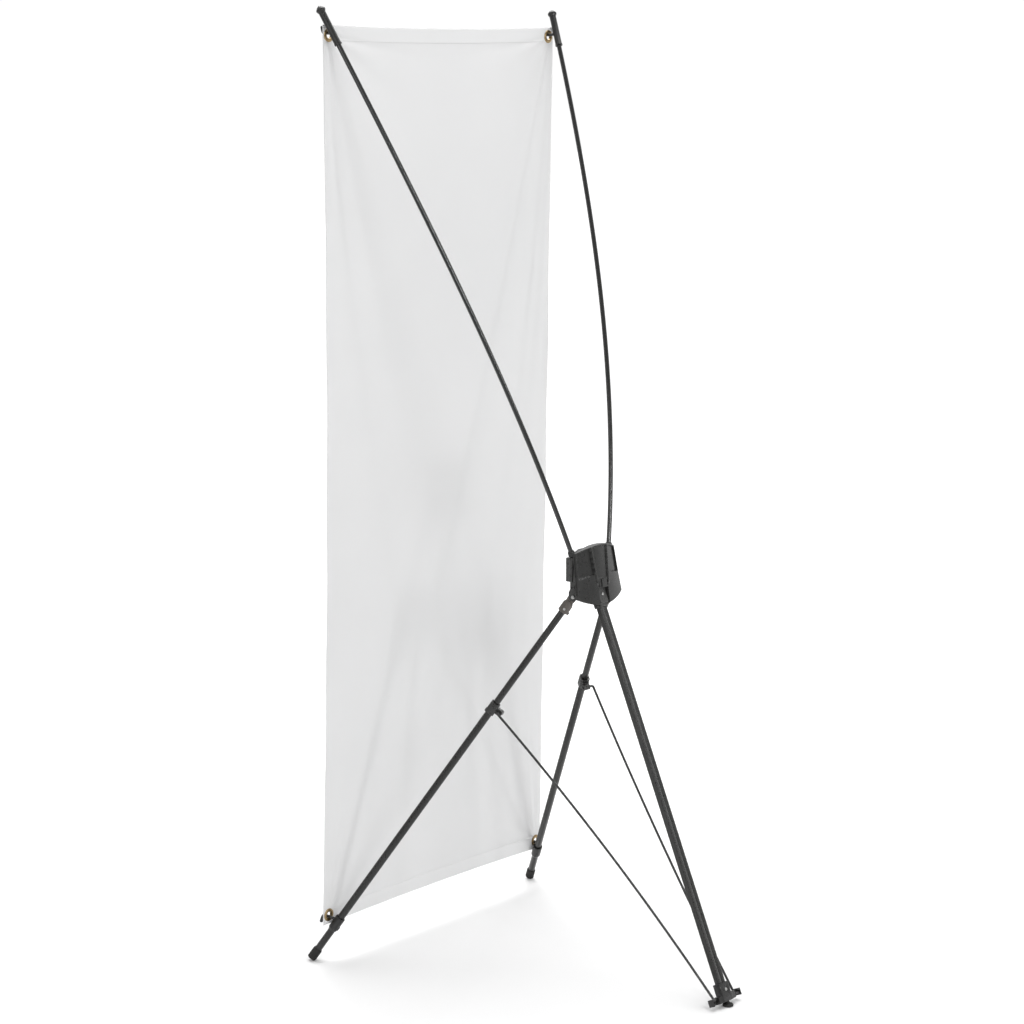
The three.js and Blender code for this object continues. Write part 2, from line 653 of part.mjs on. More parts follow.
function legKnuckle() {
  const tongue = common(
    union(crossRod(legTongueRadius, -legTongueThickness / 2, legTongueThickness / 2, 16),
      box(-legTongueThickness / 2, legTongueThickness / 2, -legTongueRadius, legTongueRadius, -12, 0)),
    box(-20, 20, -20, 20, -20, 16),
  );
  const profile = [[0, -legKnuckleLength], [legKnuckleRadius, -legKnuckleLength],
    [legKnuckleRadius, -14], [legKnuckleRadius - 3, -9], [0, -9]];
  const sleeve = turned(profile, 16);
  const end = -legKnuckleLength;
  const tab = box(-2, 2, legKnuckleRadius - 2, legKnuckleRadius + 2.5, end + 3, end + 9);
  const bore = rod(upperTubeRadius + gap, -legKnuckleLength - 1, -upperTubeStart + gap, 16);
  const pinBore = crossRod(legPinRadius + gap, -20, 16);
  const rivetBore = crossRod(legRivetRadius + gap, -20, 20, 12).translate(0, 0, -legRivetDistance);
  return cut(union(tongue, sleeve, tab), bore, pinBore, rivetBore);
}

function headedPin(radius, half, headRadius, headHeight, sides = 12) {
  const profile = [[0, -half - headHeight], [headRadius * 0.7, -half - headHeight], [headRadius, -half],
    [radius, -half], [radius, half], [headRadius, half], [headRadius * 0.7, half + headHeight],
    [0, half + headHeight]];
  return turned(profile, sides).rotateY(Math.PI / 2);
}

function upperTube() {
  const shoulder = -shoulderDistance - 0.5;
  const spigotRadius = lowerTubeRadius - tubeWall - gap;
  const end = shoulder - spigotLength;
  const profile = [[upperTubeRadius - tubeWall, -upperTubeStart], [upperTubeRadius - tubeWall, shoulder + 6],
    [spigotRadius - tubeWall, shoulder], [spigotRadius - tubeWall, end], [spigotRadius, end],
    [spigotRadius, shoulder + 0.5], [upperTubeRadius, shoulder + 0.5], [upperTubeRadius, -upperTubeStart],
    [upperTubeRadius - tubeWall, -upperTubeStart]];
  const rivetBore = crossRod(legRivetRadius + gap, -20, 20, 12).translate(0, 0, -legRivetDistance);
  return cut(turned(profile, 16), rivetBore);
}

function lowerTube() {
  return tube(lowerTubeRadius, lowerTubeRadius - tubeWall, -legReach + 4, -shoulderDistance - gap, 16);
}

// Places a shape drawn along X on the rod's turning axis, with its origin at the rod pivot.
function alongPin(geometry) {
  const turn = new THREE.Quaternion().setFromUnitVectors(unitX, rodAxisOnLeg);
  return geometry.applyQuaternion(turn).translate(rodTopLocal.x, rodTopLocal.y, rodTopLocal.z);
}

// Collar: a square sleeve on the upper tube with a lug for the rod.
function slideCollar() {
  const half = collarLength / 2;
  const middle = -collarDistance;
  const body = roundedBlock(2 * collarHalfWidth, 2 * collarHalfWidth, middle - half, middle + half, 4);
  const lug = union(
    box(-6, 6, collarHalfWidth - 3, rodRearOffset, middle - 5, middle + 6),
    alongPin(crossRod(5.5, -rodSideOffset - 6, -rodSideOffset + 6, 16)),
  );
  const foot = box(-4, 4, -collarHalfWidth - 1, -collarHalfWidth + 2, middle - half, middle - half + 5);
  const bore = rod(upperTubeRadius + slideGap, middle - half - 1, middle + half + 1, 16);
  const mouth = tube(upperTubeRadius + 2, upperTubeRadius - 1, middle + half - 2, middle + half + 1, 16);
  const window = box(-3.5, 3.5, -20, -upperTubeRadius, middle - 2, middle + 6);
  const pinBore = alongPin(crossRod(rodRadius + slideGap, -40, 10, 12));
  return cut(union(body, lug, foot), bore, mouth, window, pinBore);
}

// Rod: local frame with its origin at the collar pivot and the stand's axes.
function braceRod() {
  const top = new THREE.Vector3();
  const bottom = rodDown.clone().multiplyScalar(rodLength);
  const control = bottom.clone().multiplyScalar(0.5).add(new THREE.Vector3(-2 * rodBowIn, 0, 2 * rodBowUp));
  const bow = new THREE.QuadraticBezierCurve3(top, control, bottom);
  const upperPin = rodAxis.clone().multiplyScalar(-rodSideOffset - 4);
  const lowerPin = bottom.clone().addScaledVector(rodAxis, rodPinLength);
  const bend = 3;
  const inner = [0.015, 0.2, 0.4, 0.6, 0.8, 0.985].map((t) => bow.getPoint(t));
  const points = [
    upperPin,
    rodAxis.clone().multiplyScalar(-bend),
    rodAxis.clone().multiplyScalar(-bend / 4).addScaledVector(rodDown, bend / 4),
    bow.getPoint(bend / rodLength),
    ...inner,
    bow.getPoint(1 - bend / rodLength),
    bottom.clone().addScaledVector(rodAxis, bend / 4).addScaledVector(rodDown, -bend / 4),
    bottom.clone().addScaledVector(rodAxis, bend),
    lowerPin,
  ];
  return swept(new PointPath(points), rodRadius, points.length - 1, 8);
}

function rubberFoot() {
  const end = -legReach;
  const profile = [[0, end], [rubberFootRadius - 1, end], [rubberFootRadius, end + 1],
    [rubberFootRadius, end + rubberFootLength - 3], [rubberFootRadius - 1.2, end + rubberFootLength],
    [lowerTubeRadius + gap, end + rubberFootLength], [lowerTubeRadius + gap, end + 4 - gap],
    [0, end + 4 - gap]];
  return turned(profile, 24);
}

// The worn flat under the foot lies in the floor.
function wornFoot() {
  const ground = box(-50, 50, -50, 50, -50, 0);
  const intoLeg = new THREE.Matrix4().makeBasis(legAxes.x, legAxes.y, legAxes.z).setPosition(legHinge).invert();
  ground.translate(legFoot.x, legFoot.y, 0).applyMatrix4(intoLeg);
  return cut(rubberFoot(), ground);
}

function lowerHook() {
  const middle = -legReach + lowerHookDistance;
  const half = lowerHookLength / 2;
  const profile = [[0, middle - half], [lowerHookRadius - 2, middle - half],
    [lowerHookRadius, middle - half + 4], [lowerHookRadius, middle + half], [0, middle + half]];
  const root = new THREE.Vector3(0, 0, middle + half - 7);
  const bend = toFrame(hookPoint(lowerGrommet, 7, 0), legHinge, legAxes);
  const front = toFrame(hookPoint(lowerGrommet, -hookReach, 0), legHinge, legAxes);
  const tip = toFrame(hookPoint(lowerGrommet, -hookReach - 3, -hookCurl), legHinge, legAxes);
  const hook = hookWire(root, bend, front, tip);
  const bore = rod(lowerTubeRadius + gap, middle - half - 1, middle + half + 1, 16);
  return cut(union(turned(profile, 16), hook), bore);
}

function frontLeg(name, side) {
  const pinHalf = legTongueThickness / 2 + legCheekThickness + gap + 0.3;
  const rivet = headedPin(legRivetRadius, legKnuckleRadius + gap, 2.6, 1, 12);
  const pieces = [
    [`leg_knuckle_${name}`, legKnuckle(), knucklePlastic],
    [`leg_pin_${name}`, headedPin(legPinRadius, pinHalf, 3.6, 1.2), rivetSteel],
    [`leg_rivet_${name}`, rivet.translate(0, 0, -legRivetDistance), rivetSteel],
    [`leg_upper_tube_${name}`, upperTube(), legPaint],
    [`leg_lower_tube_${name}`, lowerTube(), legPaint],
    [`slide_collar_${name}`, slideCollar(), hubPlastic],
    [`lower_hook_${name}`, lowerHook(), capPlastic],
    [`rubber_foot_${name}`, wornFoot(), blackRubber],
  ];
  const meshes = pieces.map(([node, geometry, paint]) => sidedMesh(node, geometry, side, paint));
  return sidedFrame(side, legHinge, legAxes.x, legAxes.y, legAxes.z, ...meshes);
}

// ---------------------------------------------------------------- rear leg

function channelSection(width, depth, grooves) {
  const w = width / 2;
  const d = depth / 2;
  const g = grooves / 2;
  const shape = new THREE.Shape();
  shape.moveTo(-w, -d);
  shape.lineTo(-g, -d);
  shape.lineTo(0, -d + grooves);
  shape.lineTo(g, -d);
  shape.lineTo(w, -d);
  shape.lineTo(w, d);
  shape.lineTo(g, d);
  shape.lineTo(0, d - grooves);
  shape.lineTo(-g, d);
  shape.lineTo(-w, d);
  shape.closePath();
  return shape;
}

const rearLegStart = 13;
const rearLegEnd = rearReach - 2;

function rearLeg() {
  const outer = channelSection(rearLegWidth, rearLegThickness, rearLegGroove);
  const body = new THREE.ExtrudeGeometry(outer, { depth: rearLegEnd - rearLegStart, bevelEnabled: false });
  const leg = moved(body, 0, 0, -rearLegEnd);
  const near = rearLegWall / 2 + 0.4;
  const far = rearLegWidth / 2 - rearLegWall;
  const half = rearLegThickness / 2 - rearLegWall;
  const bore = (x0, x1) => box(x0, x1, -half, half, -rearLegEnd - 5, -rearLegStart + 5);
  const rivetBore = rearRivetBore(-rearRivetDistance);
  const footBore = rearRivetBore(-rearReach + crossbarRivetRise);
  return cut(leg, bore(near, far), bore(-far, -near), rivetBore, footBore);
}

function rearRivetBore(z) {
  return rod(rearRivetRadius + gap, -20, 20, 12).rotateX(Math.PI / 2).translate(0, 0, z);
}

function rearRivet(z, half) {
  return headedPin(rearRivetRadius, half, 3.2, 1.5, 16).rotateZ(Math.PI / 2).translate(0, 0, z);
}

function rearKnuckle() {
  const w = rearKnuckleWidth / 2;
  const t = rearKnuckleThickness / 2;
  const block = union(
    box(-w, w, -t, t, -rearKnuckleBelow, 0),
    crossRod(t, -w, w, 16),
  );
  const room = box(-rearLegWidth / 2 - gap, rearLegWidth / 2 + gap, -rearLegThickness / 2 - gap,
    rearLegThickness / 2 + gap, -rearKnuckleBelow - 5, -rearLegStart + gap);
  const slots = [];
  for (const x of [-7.4, 7.4]) {
    for (const [z0, z1] of [[-19, -9.5], [-23.5, -21], [-36, -26]]) {
      slots.push(box(x - 1.3, x + 1.3, t - 1.8, t + 5, z0, z1));
    }
  }
  const panel = cut(box(-4.6, 4.6, t - 0.8, t + 3, -17, 2), box(-3.8, 3.8, t - 2, t + 5, -16.2, 1.2));
  const pinBore = crossRod(rearPinRadius + gap, -40, 40);
  return cut(block, room, pinBore, panel, rearRivetBore(-rearRivetDistance), ...slots);
}

// Crossbar: arms with an open seat for each rod, and a block that holds the leg.
function footCrossbar() {
  const half = crossbarSection / 2;
  const end = crossbarLength / 2;
  const middle = -rearReach;
  const bars = box(-end, end, -half, half, middle - half, middle + half);
  const blockTop = middle + crossbarBlockHeight;
  const block = roundedBlock(crossbarBlockWidth, rearLegThickness + 6, middle - half, blockTop, 2);
  const room = box(-rearLegWidth / 2 - gap, rearLegWidth / 2 + gap, -rearLegThickness / 2 - gap,
    rearLegThickness / 2 + gap, -rearLegEnd - gap, middle + 60);
  const stemBore = padPlace(rod(padStemRadius + gap, -20, 9, 16));
  const cuts = [room, stemBore, rearRivetBore(middle + crossbarRivetRise)];
  for (const side of [1, -1]) {
    const strip = (x0, x1, y0, y1, z0, z1) => {
      const low = Math.min(side * x0, side * x1);
      return box(low, low + Math.abs(x1 - x0), y0, y1, middle + z0, middle + z1);
    };
    const slotIn = rodFootSpread - rodRadius - rodSeatRoom;
    const slotOut = rodFootSpread + rodRadius + 1.8;
    cuts.push(strip(slotIn, slotOut, -3.2, half + 5, -half - 5, half + 5));
    cuts.push(strip(slotIn, slotOut, -half - 5, -3, 1, half + 5));
    const pinEnd = rodFootSpread + rodPinLength + rodRadius + 0.6;
    cuts.push(strip(slotOut - 1, pinEnd, -3.2, half + 5, -half - 5, 3.2));
  }
  return cut(union(bars, block), ...cuts);
}

// The pad stands level on the floor under the crossbar.
function padPlace(geometry) {
  const intoLeg = new THREE.Matrix4()
    .makeBasis(rearAxes.x, rearAxes.y, rearAxes.z)
    .setPosition(rearHinge)
    .invert();
  return geometry.translate(0, rearFootDepth + padRearward, 0).applyMatrix4(intoLeg);
}

function footPad() {
  const stemTop = 8.5;
  const profile = [[0, 0], [padRadius - 0.6, 0], [padRadius, 0.8], [padRadius, padThickness - 1],
    [padRadius - 1.2, padThickness], [padStemRadius, padThickness], [padStemRadius, stemTop], [0, stemTop]];
  return padPlace(turned(profile, 24));
}

function rearLegGroup() {
  const group = new THREE.Group();
  group.position.copy(rearHinge);
  group.quaternion.setFromRotationMatrix(new THREE.Matrix4().makeBasis(rearAxes.x, rearAxes.y, rearAxes.z));
  const blockHalf = (rearLegThickness + 6) / 2;
  group.add(
    mesh('rear_leg_knuckle', rearKnuckle(), hubPlastic),
    mesh('rear_leg_rivet', rearRivet(-rearRivetDistance, rearKnuckleThickness / 2 + gap), rivetSteel),
    mesh('rear_leg', rearLeg(), legPaint),
    mesh('rear_foot_crossbar', footCrossbar(), hubPlastic),
    mesh('rear_foot_rivet', rearRivet(-rearReach + crossbarRivetRise, blockHalf + gap), rivetSteel),
    mesh('rear_foot_pad', footPad(), blackRubber),
  );
  return group;
}

// ---------------------------------------------------------------- banner

function bannerSheet() {
  const half = bannerWidth / 2;
  const bottom = -grommetEndInset;
  const top = bannerHeight - grommetEndInset;
  const middle = (bottom + top) / 2;
  const shape = new THREE.Shape();
  shape.moveTo(-half, bottom);
  shape.quadraticCurveTo(0, bottom + 2 * bannerEdgeSag, half, bottom);
  shape.quadraticCurveTo(half - 2 * bannerWaist, middle, half, top);
  shape.quadraticCurveTo(0, top - 2 * bannerEdgeSag, -half, top);
  shape.quadraticCurveTo(-half + 2 * bannerWaist, middle, -half, bottom);
  const sheet = uprightPlate(shape, -bannerThickness / 2, bannerThickness / 2, 8);
  const holes = grommetPlaces().map(([, x, z]) => moved(grommetBarrel(gap), x, 0, z));
  return cut(sheet, ...holes);
}

function grommetPlaces() {
  return [['lower_right', grommetSpread, 0], ['lower_left', -grommetSpread, 0],
    ['upper_right', grommetSpread, grommetRise], ['upper_left', -grommetSpread, grommetRise]];
}

function grommetBarrel(grow) {
  return rod(grommetHoleRadius + grommetBarrelWall + grow, -10, 10, 16).rotateX(Math.PI / 2);
}

// The ring's barrel passes through the sheet, and the washer sits round it on the front.
function grommetRing() {
  const back = bannerThickness / 2 + gap;
  const front = -bannerThickness / 2 - gap - washerThickness - 0.6;
  const inner = grommetHoleRadius;
  const outer = inner + grommetBarrelWall;
  const profile = [[inner, front], [outer, front], [outer, back], [grommetOuterRadius, back],
    [grommetOuterRadius - 0.8, back + grommetRimHeight * 0.6], [outer + 1.6, back + grommetRimHeight],
    [inner, back + grommetRimHeight * 0.8], [inner, front]];
  return turned(profile, 16).rotateX(-Math.PI / 2);
}

function grommetWasher() {
  const back = -bannerThickness / 2 - gap;
  const inner = grommetHoleRadius + grommetBarrelWall + gap;
  const profile = [[inner, back - washerThickness], [grommetOuterRadius - 1, back - washerThickness],
    [grommetOuterRadius, back - 0.5], [grommetOuterRadius, back], [inner, back],
    [inner, back - washerThickness]];
  return turned(profile, 16).rotateX(-Math.PI / 2);
}

function bannerGroup() {
  const group = new THREE.Group();
  group.position.copy(bannerOrigin);
  group.rotation.x = -bannerTilt;
  group.add(mesh('banner', bannerSheet(), bannerFabric));
  for (const [name, x, z] of grommetPlaces()) {
    group.add(mesh(`grommet_ring_${name}`, moved(grommetRing(), x, 0, z), brass));
    group.add(mesh(`grommet_washer_${name}`, moved(grommetWasher(), x, 0, z), brass));
  }
  return group;
}

// ---------------------------------------------------------------- assembly

function hubGroup() {
  const group = new THREE.Group();
  const pinHalf = rearKnuckleWidth / 2 + 5.4;
  const pin = crossRod(rearPinRadius, -pinHalf, pinHalf).translate(0, rearHinge.y, rearHinge.z);
  group.add(
    mesh('hub_body', hubBody(), hubPlastic),
    mesh('hub_cover', hubCover(), hubPlastic),
    mesh('rear_leg_pin', pin, rivetSteel),
  );
  ['top', 'left', 'right'].forEach((name, i) => {
    group.add(mesh(`hub_screw_${name}`, hubScrew(hubScrewPlaces[i]), rivetSteel));
  });
  return group;
}

function poleGroup(name, side) {
  const group = new THREE.Group();
  group.add(
    sidedMesh(`pole_${name}`, poleSweep(poleRadius), side, poleGloss),
    sidedFrame(side, poleRoot, socketAxes.x, socketAxes.y, socketAxes.z,
      sidedMesh(`pole_ferrule_${name}`, ferruleGeometry(), side, capPlastic)),
    sidedFrame(side, poleTip, capAxes.x, capAxes.y, capAxes.z,
      sidedMesh(`pole_cap_${name}`, poleCapGeometry(), side, capPlastic)),
  );
  return group;
}

function rodGroup(name, side) {
  return sidedFrame(side, rodTop, unitX, unitY, unitZ,
    sidedMesh(`brace_rod_${name}`, braceRod(), side, rodSteel));
}

const stand = new THREE.Group();
stand.add(hubGroup(), rearLegGroup(), bannerGroup());
stand.add(...both(frontLeg), ...both(rodGroup), ...both(poleGroup));

const stage = new THREE.Group();
stage.add(stand);
const extent = new THREE.Box3().setFromObject(stage, true);
stand.position.set(0, -(extent.min.y + extent.max.y) / 2, -extent.min.z);

export default stage;
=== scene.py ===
"""Looks for the X-banner stand: fine pieces, procedural materials, light and camera around the CAD frame."""

import json
import math

import bmesh
import bpy
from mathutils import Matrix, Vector, noise


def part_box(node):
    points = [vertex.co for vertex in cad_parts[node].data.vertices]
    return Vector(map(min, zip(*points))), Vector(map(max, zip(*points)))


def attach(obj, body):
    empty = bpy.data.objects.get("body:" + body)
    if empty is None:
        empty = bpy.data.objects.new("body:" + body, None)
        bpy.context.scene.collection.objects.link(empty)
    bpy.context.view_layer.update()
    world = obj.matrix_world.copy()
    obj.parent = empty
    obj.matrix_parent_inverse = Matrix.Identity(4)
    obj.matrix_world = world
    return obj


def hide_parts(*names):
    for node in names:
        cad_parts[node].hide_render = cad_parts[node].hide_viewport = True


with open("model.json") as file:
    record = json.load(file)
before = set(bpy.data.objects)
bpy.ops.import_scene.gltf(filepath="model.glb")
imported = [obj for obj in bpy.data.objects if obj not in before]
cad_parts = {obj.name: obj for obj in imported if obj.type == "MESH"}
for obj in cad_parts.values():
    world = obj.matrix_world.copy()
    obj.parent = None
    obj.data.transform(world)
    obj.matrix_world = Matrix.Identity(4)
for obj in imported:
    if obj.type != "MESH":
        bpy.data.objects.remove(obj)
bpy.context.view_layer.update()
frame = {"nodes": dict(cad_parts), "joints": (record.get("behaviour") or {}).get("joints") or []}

MM = 0.001
nodes = frame["nodes"]

# The pieces are laid out as the CAD source does it: millimetres, y = 0 at the lower grommets.
HUB_FRONT = 360.0
SHIFT_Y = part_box("hub_body")[0].y / MM - HUB_FRONT


def place(p):
    """A stand-frame point in millimetres as a scene point in metres."""
    return Vector((p[0], p[1] + SHIFT_Y, p[2])) * MM


def vec(*p):
    return Vector(p)


# ------------------------------------------------------------------ stand sizes, in millimetres

BANNER_W, BANNER_H = 610.0, 1600.0
GROMMET_X, GROMMET_END = 291.0, 17.0
BANNER_Z0 = 71.0
GROMMET_RISE = BANNER_H - 2 * GROMMET_END
BANNER_LEAN = 28.0
TILT = math.asin(BANNER_LEAN / GROMMET_RISE)
BANNER_N = vec(0, math.cos(TILT), -math.sin(TILT))          # to the rear
BANNER_U = vec(0, math.sin(TILT), math.cos(TILT))           # up the sheet
LOW_GROMMET = vec(GROMMET_X, 0, BANNER_Z0 + GROMMET_END)
TOP_GROMMET = LOW_GROMMET + BANNER_U * GROMMET_RISE

LEG_HINGE = vec(51, 373, 690)
HOOK_SLEEVE_R = 9.0
HOOK_WIRE_R = 2.7
HOOK_REST = 3.0             # the tight sheet pulls each ring against its hook
EDGE_RISE = LEG_HINGE.z - BANNER_Z0
LEG_BEHIND = (HOOK_SLEEVE_R + 0.5) * math.hypot(1, LEG_HINGE.y / EDGE_RISE)
LEG_FOOT = vec(309, LEG_BEHIND - BANNER_Z0 * (LEG_HINGE.y - LEG_BEHIND) / EDGE_RISE, 0)
LEG_UP = (LEG_HINGE - LEG_FOOT).normalized()
LEG_AXIS = LEG_UP.cross(vec(0, 0, 1)).normalized()
LEG_REAR = LEG_UP.cross(LEG_AXIS)
FOOT_R = 8.4
LEG_REACH = (LEG_HINGE.z - (FOOT_R * math.sin(math.acos(LEG_UP.z)) - 0.8)) / LEG_UP.z
TUBE_R, LOWER_TUBE_R = 6.0, 6.6
COLLAR_AT = 250.0

REAR_HINGE = vec(0, 383.5, 693)
REAR_FOOT = vec(0, 673.5, 13)
REAR_UP = (REAR_HINGE - REAR_FOOT).normalized()
REAR_REACH = (REAR_HINGE - REAR_FOOT).length
REAR_OUT = REAR_UP.cross(vec(1, 0, 0))

ROD_R = 2.25
ROD_TOP = LEG_HINGE + LEG_AXIS * 14.5 + LEG_REAR * 12.5 - LEG_UP * COLLAR_AT
ROD_END = REAR_FOOT + vec(28, 0, 0)

POLE_R = 4.25
POLE_ROOT = vec(53, 368.5, 769.5)
POLE_TIP = vec(305, 28, 1690)
POLE_START = vec(0.299, -0.174, 0.938).normalized()
POLE_END = vec(0.204, -0.425, 0.882).normalized()
POLE_SPAN = (POLE_TIP - POLE_ROOT).length


# ------------------------------------------------------------------ mesh tools

class Form:
    """Points and faces of one piece, gathered in stand-frame millimetres."""

    def __init__(self):
        self.points = []
        self.faces = []

    def add(self, points, faces, turn=None):
        start = len(self.points)
        self.points += [turn(p) if turn else Vector(p) for p in points]
        self.faces += [[i + start for i in face] for face in faces]
        return self

    def mirrored(self):
        other = Form()
        other.points = [vec(-p.x, p.y, p.z) for p in self.points]
        other.faces = [list(reversed(f)) for f in self.faces]
        return other


def axes_at(origin, x, y, z):
    """Gives the function that places a point along three axes from an origin."""
    return lambda p: origin + x * p[0] + y * p[1] + z * p[2]


def z_frame(direction):
    """Three axes whose third is the direction and whose first leans to X."""
    z = direction.normalized()
    y = z.cross(vec(1, 0, 0)).normalized()
    return y.cross(z), y, z


def circle(sides):
    """Points round a unit circle."""
    return [(math.cos(2 * math.pi * k / sides), math.sin(2 * math.pi * k / sides)) for k in range(sides)]


def tube_faces(rings, count):
    """Faces that join rings of points one after another, and close the first and the last ring."""
    faces = []
    for i in range(rings - 1):
        for k in range(count):
            q = (k + 1) % count
            faces.append([i * count + k, i * count + q, (i + 1) * count + q, (i + 1) * count + k])
    return faces + [list(reversed(range(count))), list(range((rings - 1) * count, rings * count))]


def lathe(profile, sides, closed=False):
    """A surface of revolution about Z. Ends on the axis are closed by a point."""
    points, rings = [], []
    for r, z in profile:
        if r < 1e-6:
            rings.append([len(points)])
            points.append((0, 0, z))
        else:
            rings.append(list(range(len(points), len(points) + sides)))
            points += [(r * c, r * s, z) for c, s in circle(sides)]
    faces = []
    pairs = list(zip(rings, rings[1:])) + ([(rings[-1], rings[0])] if closed else [])
    for a, b in pairs:
        for k in range(sides):
            n = (k + 1) % sides
            if len(a) == 1 and len(b) == 1:
                continue
            if len(a) == 1:
                faces.append([a[0], b[n], b[k]])
            elif len(b) == 1:
                faces.append([a[k], a[n], b[0]])
            else:
                faces.append([a[k], a[n], b[n], b[k]])
    return points, faces


def soften(profile, radius=0.6, steps=3, closed=False):
    """Rounds the corners of a lathe profile."""
    out, n = [], len(profile)
    for i, p in enumerate(profile):
        if p[0] < 1e-6 or not closed and i in (0, n - 1):
            out.append(p)
            continue
        a, b = Vector(profile[i - 1]), Vector(profile[(i + 1) % n])
        c = Vector(p)
        da, db = a - c, b - c
        la, lb = da.length, db.length
        if la < 1e-6 or lb < 1e-6 or da.angle(db) > math.radians(165):
            out.append(p)
            continue
        r = min(radius, la * 0.45, lb * 0.45)
        s, e = c + da * (r / la), c + db * (r / lb)
        for k in range(steps + 1):
            t = k / steps
            q = s * (1 - t) ** 2 + c * 2 * t * (1 - t) + e * t * t
            out.append((q.x, q.y))
    return out


def sweep(path, radius, sides):
    """A tube along points. radius is a number or one for each point. Both ends are capped."""
    n = len(path)
    radii = radius if isinstance(radius, list) else [radius] * n
    tangents = [(path[min(i + 1, n - 1)] - path[max(i - 1, 0)]).normalized() for i in range(n)]
    side = vec(0, 0, 1) if abs(tangents[0].z) < 0.9 else vec(1, 0, 0)
    side = (side - tangents[0] * side.dot(tangents[0])).normalized()
    points = []
    for i in range(n):
        side = (side - tangents[i] * side.dot(tangents[i])).normalized()
        other = tangents[i].cross(side)
        points += [path[i] + (side * a + other * b) * radii[i] for a, b in circle(sides)]
    return points, tube_faces(n, sides)


def rounded_path(corners, bend, steps=8):
    """A polyline whose corners are rounded by short curves."""
    out = [corners[0]]
    for i in range(1, len(corners) - 1):
        a, c, b = corners[i - 1], corners[i], corners[i + 1]
        s = c + (a - c).normalized() * min(bend, (a - c).length * 0.49)
        e = c + (b - c).normalized() * min(bend, (b - c).length * 0.49)
        for k in range(steps + 1):
            t = k / steps
            out.append(s * (1 - t) ** 2 + c * 2 * t * (1 - t) + e * t * t)
    out.append(corners[-1])
    return out


def bezier(a, b, c, d, t):
    """A point of a cubic curve."""
    return a * (1 - t) ** 3 + b * 3 * t * (1 - t) ** 2 + c * 3 * t * t * (1 - t) + d * t ** 3


def ball_end(path, radius):
    """Path and radii with a rounded far end."""
    tip, steps = path[-1], 5
    d = (path[-1] - path[-2]).normalized()
    extra = [tip + d * radius * math.sin(k * math.pi / 2 / steps) for k in range(1, steps)]
    radii = [radius * math.cos(k * math.pi / 2 / steps) for k in range(1, steps)]
    return path + extra, [radius] * len(path) + radii


def finish_mesh(name, mesh, body, paint, replaced, angle):
    """Puts a mesh in the scene as one piece: shaded, painted, and riding on its body."""
    obj = bpy.data.objects.new(name, mesh)
    bpy.context.scene.collection.objects.link(obj)
    for polygon in mesh.polygons:
        polygon.use_smooth = True
    mesh.set_sharp_from_angle(angle=math.radians(angle))
    mesh.materials.clear()
    mesh.materials.append(paint)
    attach(obj, body)
    if replaced:
        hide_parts(*replaced)
    return obj


def piece(name, form, body, paint, replaced=(), angle=38):
    """A closed piece made from a form."""
    mesh = bpy.data.meshes.new(name)
    mesh.from_pydata([place(p) for p in form.points], [], form.faces)
    mesh.validate()
    bm = bmesh.new()
    bm.from_mesh(mesh)
    bmesh.ops.recalc_face_normals(bm, faces=bm.faces)
    bm.to_mesh(mesh)
    bm.free()
    return finish_mesh(name, mesh, body, paint, replaced, angle)


def sided(node, form, body, paint):
    """The same piece on the right and, mirrored, on the left, each on the body of its own side."""
    for side, shape in (("right", form), ("left", form.mirrored())):
        piece(f"{node}_{side}_fine", shape, f"{body}_{side}", paint, [f"{node}_{side}"])


SHARP_EDGE = math.radians(30)
WELD = 1e-5                 # metres


def eased(node, body, paint, width):
    """A copy of a CAD node whose sharp edges are broken, so they catch the light."""
    mesh = nodes[node].data.copy()
    mesh.name = node + "_fine"
    bm = bmesh.new()
    bm.from_mesh(mesh)
    bmesh.ops.remove_doubles(bm, verts=bm.verts, dist=WELD)
    bmesh.ops.dissolve_limit(bm, angle_limit=math.radians(2), verts=bm.verts, edges=bm.edges)
    sharp = [e for e in bm.edges if len(e.link_faces) == 2 and e.calc_face_angle(0) > SHARP_EDGE]
    bmesh.ops.bevel(bm, geom=sharp, offset=width * MM, offset_type="OFFSET", segments=2, profile=0.5,
                    affect="EDGES", clamp_overlap=True)
    bm.to_mesh(mesh)
    bm.free()
    return finish_mesh(node + "_fine", mesh, body, paint, [node], 40)


# ------------------------------------------------------------------ materials

def new_material(name):
    m = bpy.data.materials.new(name)
    m.use_nodes = True
    tree = m.node_tree
    shader = tree.nodes["Principled BSDF"]
    return m, tree, shader


def link(tree, a, out, b, into):
    tree.links.new(a.outputs[out], b.inputs[into])


def coordinates(tree, scale=(1, 1, 1)):
    source = tree.nodes.new("ShaderNodeTexCoord")
    mapping = tree.nodes.new("ShaderNodeMapping")
    mapping.inputs["Scale"].default_value = scale
    link(tree, source, "Object", mapping, "Vector")
    return mapping


def noise_node(tree, coords, scale, detail, rough):
    n = tree.nodes.new("ShaderNodeTexNoise")
    n.inputs["Scale"].default_value = scale
    n.inputs["Detail"].default_value = detail
    n.inputs["Roughness"].default_value = rough
    link(tree, coords, "Vector", n, "Vector")
    return n


def ramp(tree, source, out, stops):
    """A colour ramp over a value. Each stop is a place and a grey or a colour."""
    r = tree.nodes.new("ShaderNodeValToRGB")
    for i, (at, value) in enumerate(stops):
        e = r.color_ramp.elements[i] if i < 2 else r.color_ramp.elements.new(at)
        e.position = at
        e.color = (*value, 1) if isinstance(value, tuple) else (value, value, value, 1)
    link(tree, source, out, r, "Fac")
    return r


def bump(tree, height, out, shader, strength, distance, before=None):
    b = tree.nodes.new("ShaderNodeBump")
    b.inputs["Strength"].default_value = strength
    b.inputs["Distance"].default_value = distance
    link(tree, height, out, b, "Height")
    if before:
        link(tree, before, "Normal", b, "Normal")
    link(tree, b, "Normal", shader, "Normal")
    return b


